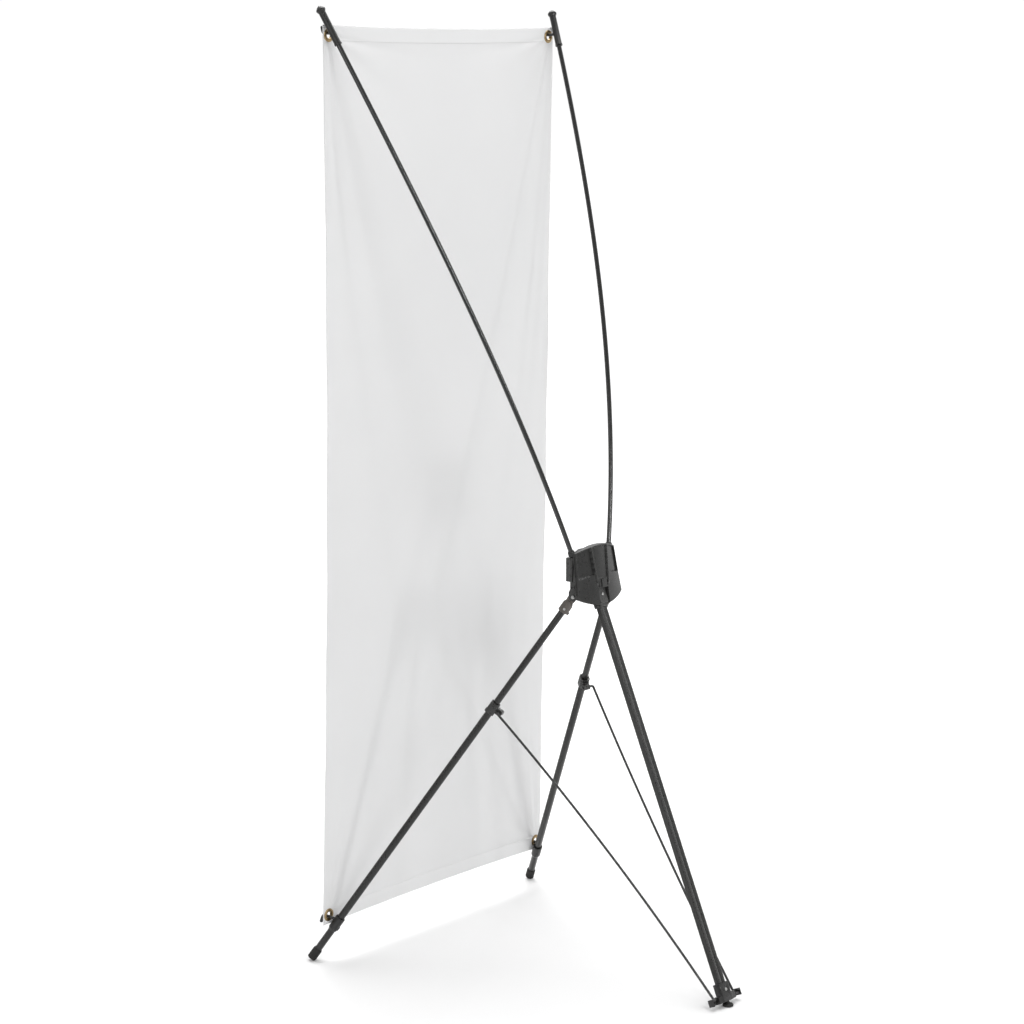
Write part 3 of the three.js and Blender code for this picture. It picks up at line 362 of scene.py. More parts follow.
def moulded(name, dark, light, rough, grain=2600, depth=0.00004, specular=0.5, edge_highlight=0.0):
    """Moulded plastic: fine spark-eroded grain, cloudy tone and roughness, and convex edges painted paler as
    a painted highlight.
    """
    m, tree, shader = new_material(name)
    coords = coordinates(tree)
    cloud = noise_node(tree, coords, 45, 5, 0.6)
    tone = ramp(tree, cloud, "Fac", [(0.3, dark), (0.75, light)])
    last = tone
    # Painted highlight: convex edges, found by pointiness, are lightened towards a paler grey.
    if edge_highlight:
        geometry = tree.nodes.new("ShaderNodeNewGeometry")
        edge = ramp(tree, geometry, "Pointiness", [(0.52, 0.0), (0.62, 1.0)])
        mix = tree.nodes.new("ShaderNodeMixRGB")
        mix.inputs["Color2"].default_value = tuple(min(1, c * 2.2 + 0.03) for c in light) + (1,)
        scaled = tree.nodes.new("ShaderNodeMath")
        scaled.operation = "MULTIPLY"
        scaled.inputs[1].default_value = edge_highlight
        link(tree, edge, "Color", scaled, 0)
        link(tree, scaled, "Value", mix, "Fac")
        link(tree, tone, "Color", mix, "Color1")
        last = mix
    link(tree, last, "Color", shader, "Base Color")
    shader.inputs["Specular IOR Level"].default_value = specular
    patches = noise_node(tree, coords, 160, 3, 0.55)
    roughness = ramp(tree, patches, "Fac", [(0.3, rough - 0.06), (0.7, rough + 0.07)])
    link(tree, roughness, "Color", shader, "Roughness")
    grains = noise_node(tree, coords, grain, 2, 0.5)
    bump(tree, grains, "Fac", shader, 0.35, depth)
    return m


def coated_metal(name, dark, light, rough, coat=0.0, along=(60, 60, 2)):
    """Painted or powder-coated metal with faint drawing marks along its length."""
    m, tree, shader = new_material(name)
    coords = coordinates(tree)
    cloud = noise_node(tree, coords, 12, 4, 0.6)
    tone = ramp(tree, cloud, "Fac", [(0.35, dark), (0.7, light)])
    link(tree, tone, "Color", shader, "Base Color")
    shader.inputs["Coat Weight"].default_value = coat
    shader.inputs["Coat Roughness"].default_value = 0.12
    streaks = coordinates(tree, along)
    fine = noise_node(tree, streaks, 14, 3, 0.6)
    roughness = ramp(tree, fine, "Fac", [(0.3, rough - 0.05), (0.7, rough + 0.08)])
    link(tree, roughness, "Color", shader, "Roughness")
    peel = noise_node(tree, coords, 900, 2, 0.5)
    bump(tree, peel, "Fac", shader, 0.25, 0.00003)
    return m


def bare_metal(name, dark, light, rough):
    """Brass or steel: cloudy tone, darker hollows, fine scratches across it."""
    m, tree, shader = new_material(name)
    coords = coordinates(tree)
    cloud = noise_node(tree, coords, 220, 5, 0.65)
    tone = ramp(tree, cloud, "Fac", [(0.3, dark), (0.75, light)])
    geometry = tree.nodes.new("ShaderNodeNewGeometry")
    hollow = ramp(tree, geometry, "Pointiness", [(0.42, 0.25), (0.5, 1.0)])
    mix = tree.nodes.new("ShaderNodeMixRGB")
    mix.blend_type = "MULTIPLY"
    mix.inputs["Fac"].default_value = 1.0
    link(tree, tone, "Color", mix, "Color1")
    link(tree, hollow, "Color", mix, "Color2")
    link(tree, mix, "Color", shader, "Base Color")
    shader.inputs["Metallic"].default_value = 1.0
    scratch = noise_node(tree, coordinates(tree, (1, 1, 9)), 700, 3, 0.6)
    roughness = ramp(tree, scratch, "Fac", [(0.3, rough - 0.08), (0.7, rough + 0.14)])
    link(tree, roughness, "Color", shader, "Roughness")
    bump(tree, scratch, "Fac", shader, 0.2, 0.00003)
    return m


def banner_cloth(name):
    """Coated banner cloth: fine plain weave under a smooth white coat, soft sheen, faint tonal drift."""
    m, tree, shader = new_material(name)
    coords = coordinates(tree)
    drift = noise_node(tree, coords, 2.2, 3, 0.5)
    tone = ramp(tree, drift, "Fac", [(0.3, (0.694, 0.696, 0.699)), (0.7, (0.735, 0.736, 0.738))])
    link(tree, tone, "Color", shader, "Base Color")
    threads = []
    for direction in ("X", "Z"):
        wave = tree.nodes.new("ShaderNodeTexWave")
        wave.bands_direction = direction
        wave.inputs["Scale"].default_value = 320
        wave.inputs["Distortion"].default_value = 0.4
        wave.inputs["Detail"].default_value = 1.0
        link(tree, coords, "Vector", wave, "Vector")
        threads.append(wave)
    weave = tree.nodes.new("ShaderNodeMath")
    weave.operation = "MULTIPLY"
    link(tree, threads[0], "Fac", weave, 0)
    link(tree, threads[1], "Fac", weave, 1)
    first = bump(tree, weave, "Value", shader, 0.25, 0.00005)
    soft = noise_node(tree, coordinates(tree, (1, 1, 0.45)), 9, 3, 0.5)
    bump(tree, soft, "Fac", shader, 0.12, 0.0012, before=first)
    patches = noise_node(tree, coords, 30, 3, 0.5)
    roughness = ramp(tree, patches, "Fac", [(0.3, 0.62), (0.7, 0.74)])
    link(tree, roughness, "Color", shader, "Roughness")
    shader.inputs["Specular IOR Level"].default_value = 0.3
    shader.inputs["Sheen Weight"].default_value = 0.08
    return m


# The last argument of each plastic sets how strongly its convex edges are painted paler as a painted
# highlight.
hub_plastic = moulded("hub_plastic", (0.012, 0.012, 0.0115), (0.020, 0.020, 0.019), 0.30, edge_highlight=0.5)
knuckle_plastic = moulded("knuckle_plastic", (0.075, 0.066, 0.058), (0.10, 0.088, 0.078), 0.5, edge_highlight=0.3)
cap_plastic = moulded("cap_plastic", (0.009, 0.009, 0.009), (0.016, 0.016, 0.015), 0.32, grain=1800,
                      edge_highlight=0.15)
rubber = moulded("foot_rubber", (0.016, 0.016, 0.015), (0.026, 0.025, 0.024), 0.78, grain=1500,
                 depth=0.00008, specular=0.35, edge_highlight=0.25)
leg_paint = coated_metal("leg_paint", (0.010, 0.010, 0.0095), (0.017, 0.0165, 0.0155), 0.28)
rear_paint = coated_metal("rear_leg_paint", (0.009, 0.009, 0.0085), (0.016, 0.0155, 0.014), 0.28, coat=0.1)
pole_gloss = coated_metal("pole_fibreglass", (0.006, 0.006, 0.006), (0.011, 0.011, 0.011), 0.16, coat=0.5,
                          along=(80, 80, 1))
rod_paint = coated_metal("rod_coating", (0.012, 0.012, 0.012), (0.02, 0.02, 0.02), 0.3, coat=0.3)
brass = bare_metal("eyelet_brass", (0.25, 0.17, 0.085), (0.41, 0.31, 0.17), 0.3)
steel = bare_metal("rivet_steel", (0.30, 0.30, 0.30), (0.48, 0.48, 0.47), 0.34)
cloth = banner_cloth("banner_cloth")


# ------------------------------------------------------------------ poles, ferrules, end caps

def pole_point(t):
    return bezier(POLE_ROOT, POLE_ROOT + POLE_START * (POLE_SPAN / 3), POLE_TIP - POLE_END * (POLE_SPAN / 3),
                  POLE_TIP, t)


def make_poles():
    """Each pole reaches down into its socket and wears a short ferrule where it leaves the hub."""
    steps = 96
    path = [POLE_ROOT - POLE_START * depth for depth in (45, 20)]
    path += [pole_point(k / steps) for k in range(steps + 1)]
    sided("pole", Form().add(*sweep(path, POLE_R, 28)), "pole", pole_gloss)
    x, y, z = z_frame(POLE_START)
    inner = POLE_R + 0.3
    profile = [(inner, -9), (6.0, -9), (6.7, -7.2), (6.3, -5), (6.3, -1.8), (5.6, 0.2), (5.0, 1),
               (inner, 1)]
    ferrule = Form().add(*lathe(soften(profile, 0.5, 3, True), 40, True), axes_at(POLE_ROOT, x, y, z))
    sided("pole_ferrule", ferrule, "pole", cap_plastic)


def hook_point(grommet, depth, rise):
    """A point on a hook: its depth behind the eyelet's middle and its rise above it."""
    return grommet + BANNER_N * depth + BANNER_U * rise


def hook_wire(corners, start, swell):
    """A round wire through the corners that thickens from start, a share of its length, to a ball end."""
    path, radii = ball_end(rounded_path(corners, 5), HOOK_WIRE_R)
    count = len(path)
    radii = [r * (1 + swell * max(0, i / count - start) / (1 - start)) for i, r in enumerate(radii)]
    return sweep(path, radii, 20)


def make_caps():
    """A sleeve with a pointed head on each pole's end, and the hook that holds the upper eyelet."""
    x, y, z = z_frame(POLE_END)
    turn = axes_at(POLE_TIP, x, y, z)
    inner = POLE_R + 0.25
    profile = [(inner, -60), (6.8, -60), (6.6, -57.5), (6.1, -55), (6.1, 0.5), (8.2, 4.6), (8.2, 7.0),
               (5.0, 10.8), (1.2, 13.2), (0, 13.2)]
    cap = Form()
    cap.add(*lathe(soften(profile, 0.5, 3), 56), turn)
    bend = hook_point(TOP_GROMMET, 6, HOOK_REST)
    root = POLE_TIP + z * max((bend - POLE_TIP).dot(z), -54)
    corners = [root, bend, hook_point(TOP_GROMMET, -13, HOOK_REST), hook_point(TOP_GROMMET, -15, 12.5)]
    cap.add(*hook_wire(corners, 0.72, 0.35))
    sided("pole_cap", cap, "pole", cap_plastic)


# ------------------------------------------------------------------ front legs

def leg_turn(p):
    """A point given from the right leg's hinge: along its hinge axis, to the rear, and up the leg."""
    return LEG_HINGE + LEG_AXIS * p[0] + LEG_REAR * p[1] + LEG_UP * p[2]


def make_legs():
    """Two tubes, the thin one let into the thick one, and a rubber cap cut flat by the floor."""
    shoulder = -COLLAR_AT - 11.3
    end = -LEG_REACH
    upper = [(5, -14), (TUBE_R, -14), (TUBE_R, shoulder - 0.2), (5.3, shoulder - 0.6),
             (5.3, shoulder - 25), (4.3, shoulder - 25)]
    lower = [(5.6, end + 4), (LOWER_TUBE_R, end + 4), (LOWER_TUBE_R, shoulder), (5.6, shoulder)]
    for name, profile, radius, steps in (("upper", upper, 0.3, 2), ("lower", lower, 0.4, 3)):
        tube = Form().add(*lathe(soften(profile, radius, steps, True), 48, True), leg_turn)
        sided(f"leg_{name}_tube", tube, "leg", leg_paint)
    bore = LOWER_TUBE_R + 0.3
    profile = [(0, end), (FOOT_R - 1, end), (FOOT_R, end + 1.2), (FOOT_R, end + 20), (FOOT_R - 1.0, end + 23),
               (bore, end + 23), (bore, end + 15)]
    foot = Form().add(*lathe(soften(profile, 0.7, 4), 56), leg_turn)
    foot.points = [vec(p.x, p.y, max(p.z, 0.0)) for p in foot.points]
    sided("rubber_foot", foot, "leg", rubber)


def make_lower_hooks():
    """A sleeve clamped on each leg, and the hook that holds the lower eyelet."""
    middle = -LEG_REACH + LOW_GROMMET.z / LEG_UP.z - 25.15
    half = 14.5
    inner = LOWER_TUBE_R + 0.3
    profile = [(inner, middle - half), (7.2, middle - half), (HOOK_SLEEVE_R, middle - half + 4.5),
               (HOOK_SLEEVE_R, middle + half), (HOOK_SLEEVE_R - 1.1, middle + half),
               (inner + 0.5, middle + half - 3), (inner, middle + half - 5)]
    hook = Form().add(*lathe(soften(profile, 0.6, 3, True), 48, True), leg_turn)
    foot, crown, low = HOOK_SLEEVE_R - 1.5, HOOK_SLEEVE_R + 0.8, middle - half
    tab = [(-2, foot, low + 4), (2, foot, low + 4), (2, crown, low + 6), (-2, crown, low + 6),
           (-2, foot, low + 13), (2, foot, low + 13), (2, crown, low + 12), (-2, crown, low + 12)]
    tab_faces = [[0, 1, 2, 3], [4, 7, 6, 5], [0, 4, 5, 1], [1, 5, 6, 2], [2, 6, 7, 3], [3, 7, 4, 0]]
    hook.add(tab, tab_faces, leg_turn)
    root = leg_turn((0, 0, middle + half - 7))
    bend = hook_point(LOW_GROMMET, 7, -HOOK_REST)
    front = hook_point(LOW_GROMMET, -13, -HOOK_REST)
    tip = hook_point(LOW_GROMMET, -18, -HOOK_REST - 13)
    start = root + (bend - root).normalized() * 5.5
    hook.add(*hook_wire([start, bend, front, tip], 0.68, 0.45))
    sided("lower_hook", hook, "leg", cap_plastic)


# ------------------------------------------------------------------ brace rods

def make_rods():
    """Thin bowed rods, turned into the collar at the top and into the crossbar's seat at the foot."""
    joint = next(j for j in frame["joints"] if j["name"] == "rod_swing_right")
    axis = -Vector(joint["axis"]).normalized()
    control = (ROD_TOP + ROD_END) / 2 + vec(-22, 0, 8)

    def bow(t):
        return ROD_TOP * (1 - t) ** 2 + control * 2 * t * (1 - t) + ROD_END * t * t

    inner = [bow(0.008 + 0.984 * k / 40) for k in range(41)]
    bend = 4
    path = rounded_path([ROD_TOP - axis * 18.5, ROD_TOP, inner[1]], bend, 6)[:-1]
    path += inner[1:-1]
    path += rounded_path([inner[-2], ROD_END, ROD_END + axis * 8], bend, 6)[1:]
    sided("brace_rod", Form().add(*sweep(path, ROD_R, 18)), "rod", rod_paint)


# ------------------------------------------------------------------ rear leg

def rear_turn(p):
    """A point given from the rear hinge: across, outwards, and up the leg."""
    return REAR_HINGE + vec(1, 0, 0) * p[0] + REAR_OUT * p[1] + REAR_UP * p[2]


def make_rear_leg():
    """A flat rounded bar with a groove down the middle of both faces, so that it reads as two channels."""
    half_width, half_depth, corner, groove_half = 9.5, 5.0, 1.6, 1.5
    right = []
    for y, first in ((corner - half_depth, -90), (half_depth - corner, 0)):
        for angle in (math.radians(first + k * 18) for k in range(6)):
            right.append((half_width - corner + corner * math.cos(angle), y + corner * math.sin(angle)))
    flank = [(groove_half, half_depth), (groove_half * 0.8, half_depth - 0.15), (0.35, half_depth - 1.35)]
    groove = flank + [(0, half_depth - 1.5)] + [(-x, y) for x, y in reversed(flank)]
    ring = right + groove + [(-x, y) for x, y in reversed(right)] + [(-x, -y) for x, y in groove]
    m = len(ring)
    spans = 24
    stations = [-13.0 - k * (REAR_REACH - 15) / spans for k in range(spans + 1)]
    points = [(x, y, z) for z in stations for x, y in ring]
    faces = []
    for i in range(len(stations) - 1):
        for k in range(m):
            q = (k + 1) % m
            faces.append([i * m + k, (i + 1) * m + k, (i + 1) * m + q, i * m + q])
    faces.append(list(range(m)))
    faces.append(list(reversed(range((len(stations) - 1) * m, len(stations) * m))))
    piece("rear_leg_fine", Form().add(points, faces, rear_turn), "rear_leg", rear_paint,
          ["rear_leg"], angle=50)


# ------------------------------------------------------------------ hub

# The rear cover: its half width at heights, and where its two ribs start and end, as x and z.
HUB_SIDE = ((672, 61.5), (690, 60.5), (714, 57.5), (740, 56), (768, 54), (781, 53))
RIB_LOW, RIB_HIGH = (15, 708), (22, 779)


def between(table, at):
    """A value read from a table of heights and values, straight between its rows."""
    for (z0, v0), (z1, v1) in zip(table, table[1:]):
        if at <= z1:
            return v0 + (v1 - v0) * max(0.0, at - z0) / (z1 - z0)
    return table[-1][1]


def smooth(t):
    t = min(1.0, max(0.0, t))
    return t * t * (3 - 2 * t)


def hub_low(x):
    return 672 + 15 * (x / 61) ** 2


def hub_high(x):
    return 777 - 10 * (x / 54) ** 2


def rib_x(z):
    return RIB_LOW[0] + (RIB_HIGH[0] - RIB_LOW[0]) * (z - RIB_LOW[1]) / (RIB_HIGH[1] - RIB_LOW[1])


def cover_base(x, z):
    """The rear face without its relief: an arc in plan that leans to the rear towards the skirt."""
    bend = (x / 57) ** 2
    return 394 - 11 * bend + (745 - z) * (0.15 + 0.05 * bend)


def cover_relief(x, z):
    side = between(HUB_SIDE, z)
    edge = min(side - abs(x), hub_high(x) - z, z - hub_low(x))
    y = -1.4 * (1 - edge / 1.6) ** 2 if edge < 1.6 else 0.0
    if z > RIB_LOW[1] - 2:
        off = abs(x) - rib_x(z)
        end = smooth((z - RIB_LOW[1] + 2) / 6)
        if abs(off) < 2.1:
            return y + 2.0 * end * math.sqrt(1 - (off / 2.1) ** 2)
        if off > 0:
            inside = min(side - 2.2 - abs(x), hub_high(x) - 2.6 - z, z - 726 + 0.15 * (abs(x) - 22))
            y -= 3.4 * smooth(inside / 1.1)
        else:
            y -= 1.1 * smooth((z - 719) / 1.2) * smooth((hub_high(x) - 2 - z) / 1.2)
    if 3.2 < x < 9.5 and 703.5 < z < 717:
        y -= 1.3
    if -9.5 < x < 0.5 and 716.5 < z < 718.2:
        y += 1.0
    if 11.2 < abs(x) < 13.4 and 704 < z < 714:
        y -= 5.0
    return y


def make_hub_cover():
    """A thin shell on a grid that is fine where the relief has edges, with side walls and the pin's lugs."""
    near = [-24 + k for k in range(49)] + [e + d for e in (-13.4, -11.2, 11.2, 13.4, 3.2, 9.5, -9.5, 0.5)
                                           for d in (-0.12, 0.12)]
    near = sorted(near)
    outer = [k / 12 for k in range(1, 11)] + [0.89, 0.93, 0.96, 0.98, 1.0]
    columns = [("out", -f) for f in reversed(outer)] + [("in", x) for x in near] + [("out", f) for f in outer]
    levels = [690.0 + k for k in range(77)] + [e + d for e in (703.5, 717, 716.5, 718.2, 704, 714)
                                               for d in (-0.12, 0.12)]
    levels = sorted(set(levels))
    rows = [("low", k / 12) for k in range(12)] + [("z", z) for z in levels]
    rows += [("high", f) for f in (0.12, 0.25, 0.4, 0.55, 0.7, 0.82, 0.9, 0.95, 1.0)]

    def column_x(column, z):
        kind, v = column
        return v if kind == "in" else math.copysign(24 + (between(HUB_SIDE, z) - 24) * abs(v), v)

    def spot(column, row):
        kind, v = row
        if kind == "z":
            return column_x(column, v), v
        if kind == "low":
            x = column_x(column, 688)
            z = hub_low(x) + (690 - hub_low(x)) * v
        else:
            x = column_x(column, 770)
            z = 766 + (hub_high(x) - 766) * v
        return column_x(column, z), z

    grid = [[spot(c, r) for c in columns] for r in rows]
    points, n = [], len(columns)
    for line in grid:
        points += [vec(x, cover_base(x, z) + cover_relief(x, z), z) for x, z in line]
    count = len(points)
    for line in grid:
        points += [vec(x, cover_base(x, z) - 6.2, z) for x, z in line]
    faces, kept = [], {}
    for i in range(len(rows) - 1):
        for k in range(n - 1):
            x = (grid[i][k][0] + grid[i][k + 1][0] + grid[i + 1][k][0] + grid[i + 1][k + 1][0]) / 4
            z = (grid[i][k][1] + grid[i + 1][k + 1][1]) / 2
            if abs(x) < 13.4 and z < 702.5:
                continue
            quad = [i * n + k, i * n + k + 1, (i + 1) * n + k + 1, (i + 1) * n + k]
            faces.append(quad)
            faces.append([v + count for v in reversed(quad)])
            for a, b in zip(quad, quad[1:] + quad[:1]):
                kept[(a, b)] = True
    for a, b in list(kept):
        if (b, a) not in kept:
            faces.append([b, a, a + count, b + count])
    cover = Form().add(points, faces)
    # Side walls run round the top and down both sides, and are shallow along the skirt.
    border = [(between(HUB_SIDE, z), z) for z in (688, 695, 702, 710, 714, 721, 728, 740, 754, 764)]
    border += [(x, hub_high(x)) for x in (52, 47, 40, 32, 24, 16, 8)]
    border += [(0, hub_high(0))] + [(-x, z) for x, z in reversed(border)]
    rails = []
    for x, z in border:
        inward = 1 - 3.0 / max(20, math.hypot(x, (z - 722) * 0.8))
        front = min(377.6, cover_base(x, z) - 3) if z > 712 else cover_base(x, z) - 8
        back = cover_base(x, z) - 2.0
        xi, zi = x * inward, 722 + (z - 722) * (1 - (1 - inward) * 1.1)
        rails.append([vec(x, front, z), vec(x, back, z), vec(xi, back, zi), vec(xi, front, zi)])
    cover.add([p for rail in rails for p in rail], tube_faces(len(rails), 4))
    # Lugs for the rear hinge pin stand beside the slot.
    for x in (-15.2, 15.2):
        cover.add(*block((x - 1.8, 377, 680), (x + 1.8, 399, 705)))
    piece("hub_cover_fine", cover, "hub", hub_plastic, ["hub_cover"], angle=34)


def block(low, high):
    """A box between two corners with its edges broken."""
    x0, y0, z0 = low
    x1, y1, z1 = high
    e = min(0.6, (x1 - x0) / 4, (y1 - y0) / 4, (z1 - z0) / 4)
    points = []
    for z, s in ((z0, e), (z0 + e, 0), (z1 - e, 0), (z1, e)):
        points += [(x0 + s + e, y0 + s, z), (x1 - s - e, y0 + s, z),
                   (x1 - s, y0 + s + e, z), (x1 - s, y1 - s - e, z),
                   (x1 - s - e, y1 - s, z), (x0 + s + e, y1 - s, z),
                   (x0 + s, y1 - s - e, z), (x0 + s, y0 + s + e, z)]
    return points, tube_faces(4, 8)


def make_hub_body():
    """Front half: a plate, a square socket block for each pole, and the cheeks that hold the leg pins."""
    body = Form()
    outline = [(24, 769), (38, 763), (42, 744), (43, 726), (43, 712), (37, 702), (33, 685), (14, 674)]
    outline += [(-x, z) for x, z in reversed(outline)]
    m = len(outline)
    points, faces = [], []
    for y, inset in ((360, 1.6), (360.6, 0.5), (361.6, 0), (371.6, 0), (372.4, 0.4), (373.0, 1.2)):
        points += [(x * (1 - inset / 40), y, 726 + (z - 726) * (1 - inset / 50)) for x, z in outline]
    for i in range(5):
        for k in range(m):
            q = (k + 1) % m
            faces.append([i * m + k, i * m + q, (i + 1) * m + q, (i + 1) * m + k])
    faces += [list(range(m)), list(reversed(range(5 * m, 6 * m)))]
    body.add(points, faces)
    x, y, z = z_frame(POLE_START)
    turn = axes_at(POLE_ROOT, x, y, z)
    sockets = Form()
    sockets.add(*block((36, 360.5, 716), (57, 374.5, 758.5)))
    sockets.add(*block((50, 362.5, 716.6), (58.2, 372.5, 757)))
    bore = POLE_R + 0.35
    tube = [(bore, -30), (7.6, -30), (7.6, -9.7), (bore, -9.7)]
    sockets.add(*lathe(soften(tube, 0.5, 3, True), 40, True), turn)
    plane = vec(LEG_AXIS.x, LEG_AXIS.y, 0)
    across = vec(-plane.y, plane.x, 0)
    for offset in (4.4, -6.9):
        ring = [(7.6 * math.cos(math.radians(a)), 7.6 * math.sin(math.radians(a)))
                for a in range(180, 361, 15)]
        ring += [(7.0, 9), (2, 15), (-4.5, 15), (-7.6, 9)]
        cheek = [LEG_HINGE + plane * (offset + d) + across * a + vec(0, 0, b)
                 for d in (0, 2.5) for a, b in ring]
        sockets.add(cheek, tube_faces(2, len(ring)))
    # Web from the cheeks to the plate.
    sockets.add(*block((36, 363, 697), (48.5, 373, 716)))
    for part in (sockets, sockets.mirrored()):
        body.add(part.points, part.faces)
    piece("hub_body_fine", body, "hub", hub_plastic, ["hub_body"], angle=34)


def make_leg_knuckles():
    """A tongue on the hinge pin that widens into a sleeve round the top of the leg."""
    inner = TUBE_R + 0.2
    profile = [(inner, -34), (8.0, -34), (9.2, -32.6), (9.2, -17), (8.6, -14.5), (6.4, -10.5), (0, -9.6),
               (0, -13.8), (inner, -13.8)]
    form = Form().add(*lathe(soften(profile, 0.7, 4), 48), leg_turn)
    ring = [(7.9 * math.cos(math.radians(a)), 7.9 * math.sin(math.radians(a))) for a in range(-6, 187, 8)]
    ring += [(-7.0, -13), (7.0, -13)]
    levels = ((-3.95, 0.5), (-3.45, 0), (3.45, 0), (3.95, 0.5))
    points = [(d, a * (1 - e / 8), b * (1 - e / 8)) for d, e in levels for a, b in ring]
    form.add(points, tube_faces(len(levels), len(ring)), leg_turn)
    form.add(*block((-2.2, 8.4, -33.5), (2.2, 11.6, -28.5)), leg_turn)
    form.add(*block((-1.1, 8.2, -30), (1.1, 9.8, -17)), leg_turn)
    sided("leg_knuckle", form, "leg", knuckle_plastic)
    # The rivet goes through the sleeve and the tube.
    profile = [(0, -9.8), (1.9, -9.8), (2.3, -9.3), (1.5, -9.0), (1.5, 9.0), (2.3, 9.3), (1.9, 9.8), (0, 9.8)]
    turn = axes_at(leg_turn((0, 0, -26)), LEG_REAR, LEG_UP, LEG_AXIS)
    rivet = Form().add(*lathe(soften(profile, 0.2, 2), 28), turn)
    sided("leg_rivet", rivet, "leg", steel)


def make_rear_knuckle():
    """The rear leg's head fills the slot in the hub and holds the top of the leg."""
    head = Form()
    w = 10.8                # half width
    for low, high in (((-w, -7.0, -30), (-9.75, 7.0, 8)), ((9.75, -7.0, -30), (w, 7.0, 8)),
                      ((-w, 5.3, -24), (w, 11.6, 7.5)), ((-w, -7.2, -29), (w, -5.3, 7.5)),
                      ((-w, -7.0, 1), (w, 7.0, 8.4)), ((-w, 11.0, -2.5), (-6.4, 12.2, 6.5)),
                      ((6.4, 11.0, -2.5), (w, 12.2, 6.5)), ((-12.4, -6.0, -30.5), (-9.4, 6.0, -25.5)),
                      ((9.4, -6.0, -30.5), (12.4, 6.0, -25.5)), ((-w, 5.3, -29.5), (w, 8.4, -23.6))):
        head.add(*block(low, high), rear_turn)
    piece("rear_leg_knuckle_fine", head, "rear_leg", hub_plastic, ["rear_leg_knuckle"],
          angle=34)
    turn = axes_at(rear_turn((0, 0, -8)), vec(1, 0, 0), REAR_UP, REAR_OUT)
    profile = [(0, -7.6), (2.4, -7.6), (2.4, 11.0), (3.4, 11.4), (3.2, 12.6), (2.0, 13.3), (0, 13.5)]
    rivet = Form().add(*lathe(soften(profile, 0.4, 3), 32), turn)
    piece("rear_leg_rivet_fine", rivet, "rear_leg", steel, ["rear_leg_rivet"])


# ------------------------------------------------------------------ banner and eyelets

def grid_lines(low, high, fine_marks, fine, coarse):
    """Grid positions that are close together near the marks and wide elsewhere."""
    lines, at = [low], low
    while at < high - 1e-6:
        near = min(abs(at - m) for m in fine_marks)
        step = fine if near < 16 else min(coarse, fine + (near - 16) * 0.25)
        at = min(high, at + step)
        if high - at < fine * 0.5:
            at = high
        lines.append(at)
    return lines


def crease(dx, dz, angle, reach, width, depth):
    """One soft fold that starts at a corner and dies out along its direction."""
    c, s = math.cos(math.radians(angle)), math.sin(math.radians(angle))
    along, across = dx * c + dz * s, -dx * s + dz * c
    if along < 0:
        return 0.0
    spread = width * (0.35 + along / reach)
    fade = math.exp(-((along / reach) ** 2)) * min(1.0, along / 25)
    return depth * fade * math.exp(-((across / spread) ** 2))


# Folds that fan out from each corner: direction in degrees, reach, width and depth.
CORNER_FOLDS = ((84, 420, 13, -1.5), (78, 300, 9, 1.1), (66, 260, 12, -1.2), (52, 200, 10, 0.9),
                (36, 190, 12, -1.1), (20, 170, 9, 0.9), (7, 240, 10, -1.1))
SHEET_BELLY, SHEET_WAIST = 7.5, 24.0
SHEET_SAG, SAG_SPAN = 5.0, 300.0    # the ends curve towards the middle of the sheet
SHEET_THICK = 0.7
HEM_DEPTH, HEM_LIFT, HEM_THICK = 26.0, 0.62, 0.45
HOLE_R = 7.4


def banner_offset(u, v):
    """How far the cloth stands to the rear of the grommet plane, in millimetres."""
    half, height = BANNER_W / 2, BANNER_H
    su, sv = u / half, v / height
    belly = SHEET_BELLY * (math.sin(math.pi * sv)) * (1 - 0.35 * su * su)
    x, z = abs(u), min(v, height - v)
    side = 1 if u > 0 else -1
    top = v > height / 2
    folds = 0.0
    corner_x, corner_z = GROMMET_X - x, z - GROMMET_END
    for angle, reach, width, depth in CORNER_FOLDS:
        tweak = 3.0 * math.sin(angle + 2.1 * side + (4.0 if top else 0.7))
        folds += crease(corner_x, corner_z, angle + tweak, reach, width, depth * (1.1 if top else 0.9))
    ripple = 0.5 * noise.noise(vec(u * 0.006 + 3, v * 0.0035 + 7, 1.7))
    ripple += 0.25 * noise.noise(vec(u * 0.02, v * 0.01, 9))
    edge = 1.6 * math.sin(v * 0.021 + side) * math.exp(-((half - x) / 16) ** 2) * math.sin(math.pi * sv)
    return belly + folds + ripple * min(1, z / 60) + edge * 0.6


def banner_point(u, v):
    """A point of the sheet from its place across and up the flat cloth."""
    sv, su = v / BANNER_H, u / (BANNER_W / 2)
    waist = SHEET_WAIST * sv * (1 - sv)
    sag = SHEET_SAG * (1 - su * su)
    rise = v + sag * max(0, 1 - v / SAG_SPAN) - sag * max(0, (v - BANNER_H + SAG_SPAN) / SAG_SPAN)
    flat = 0.0
    for end in (GROMMET_END, BANNER_H - GROMMET_END):
        flat = max(flat, math.exp(-(((abs(u) - GROMMET_X) / 17) ** 2 + ((v - end) / 17) ** 2) ** 2))
    p = vec(u * (1 - waist / (BANNER_W / 2)), 0, BANNER_Z0 + GROMMET_END) + BANNER_U * (rise - GROMMET_END)
    return p + BANNER_N * (banner_offset(u, v) * (1 - flat))


def banner_quads(us, vs, rows):
    """Faces of the sheet's grid between the given rows, with the eyelets' holes left open."""
    n, faces = len(us), []
    for a, i in enumerate(rows[:-1]):
        for k in range(n - 1):
            cu, cv = (us[k] + us[k + 1]) / 2, (vs[i] + vs[i + 1]) / 2
            end = GROMMET_END if cv < BANNER_H / 2 else BANNER_H - GROMMET_END
            if math.hypot(abs(cu) - GROMMET_X, cv - end) >= HOLE_R:
                faces.append([a * n + k, a * n + k + 1, (a + 1) * n + k + 1, (a + 1) * n + k])
    return faces


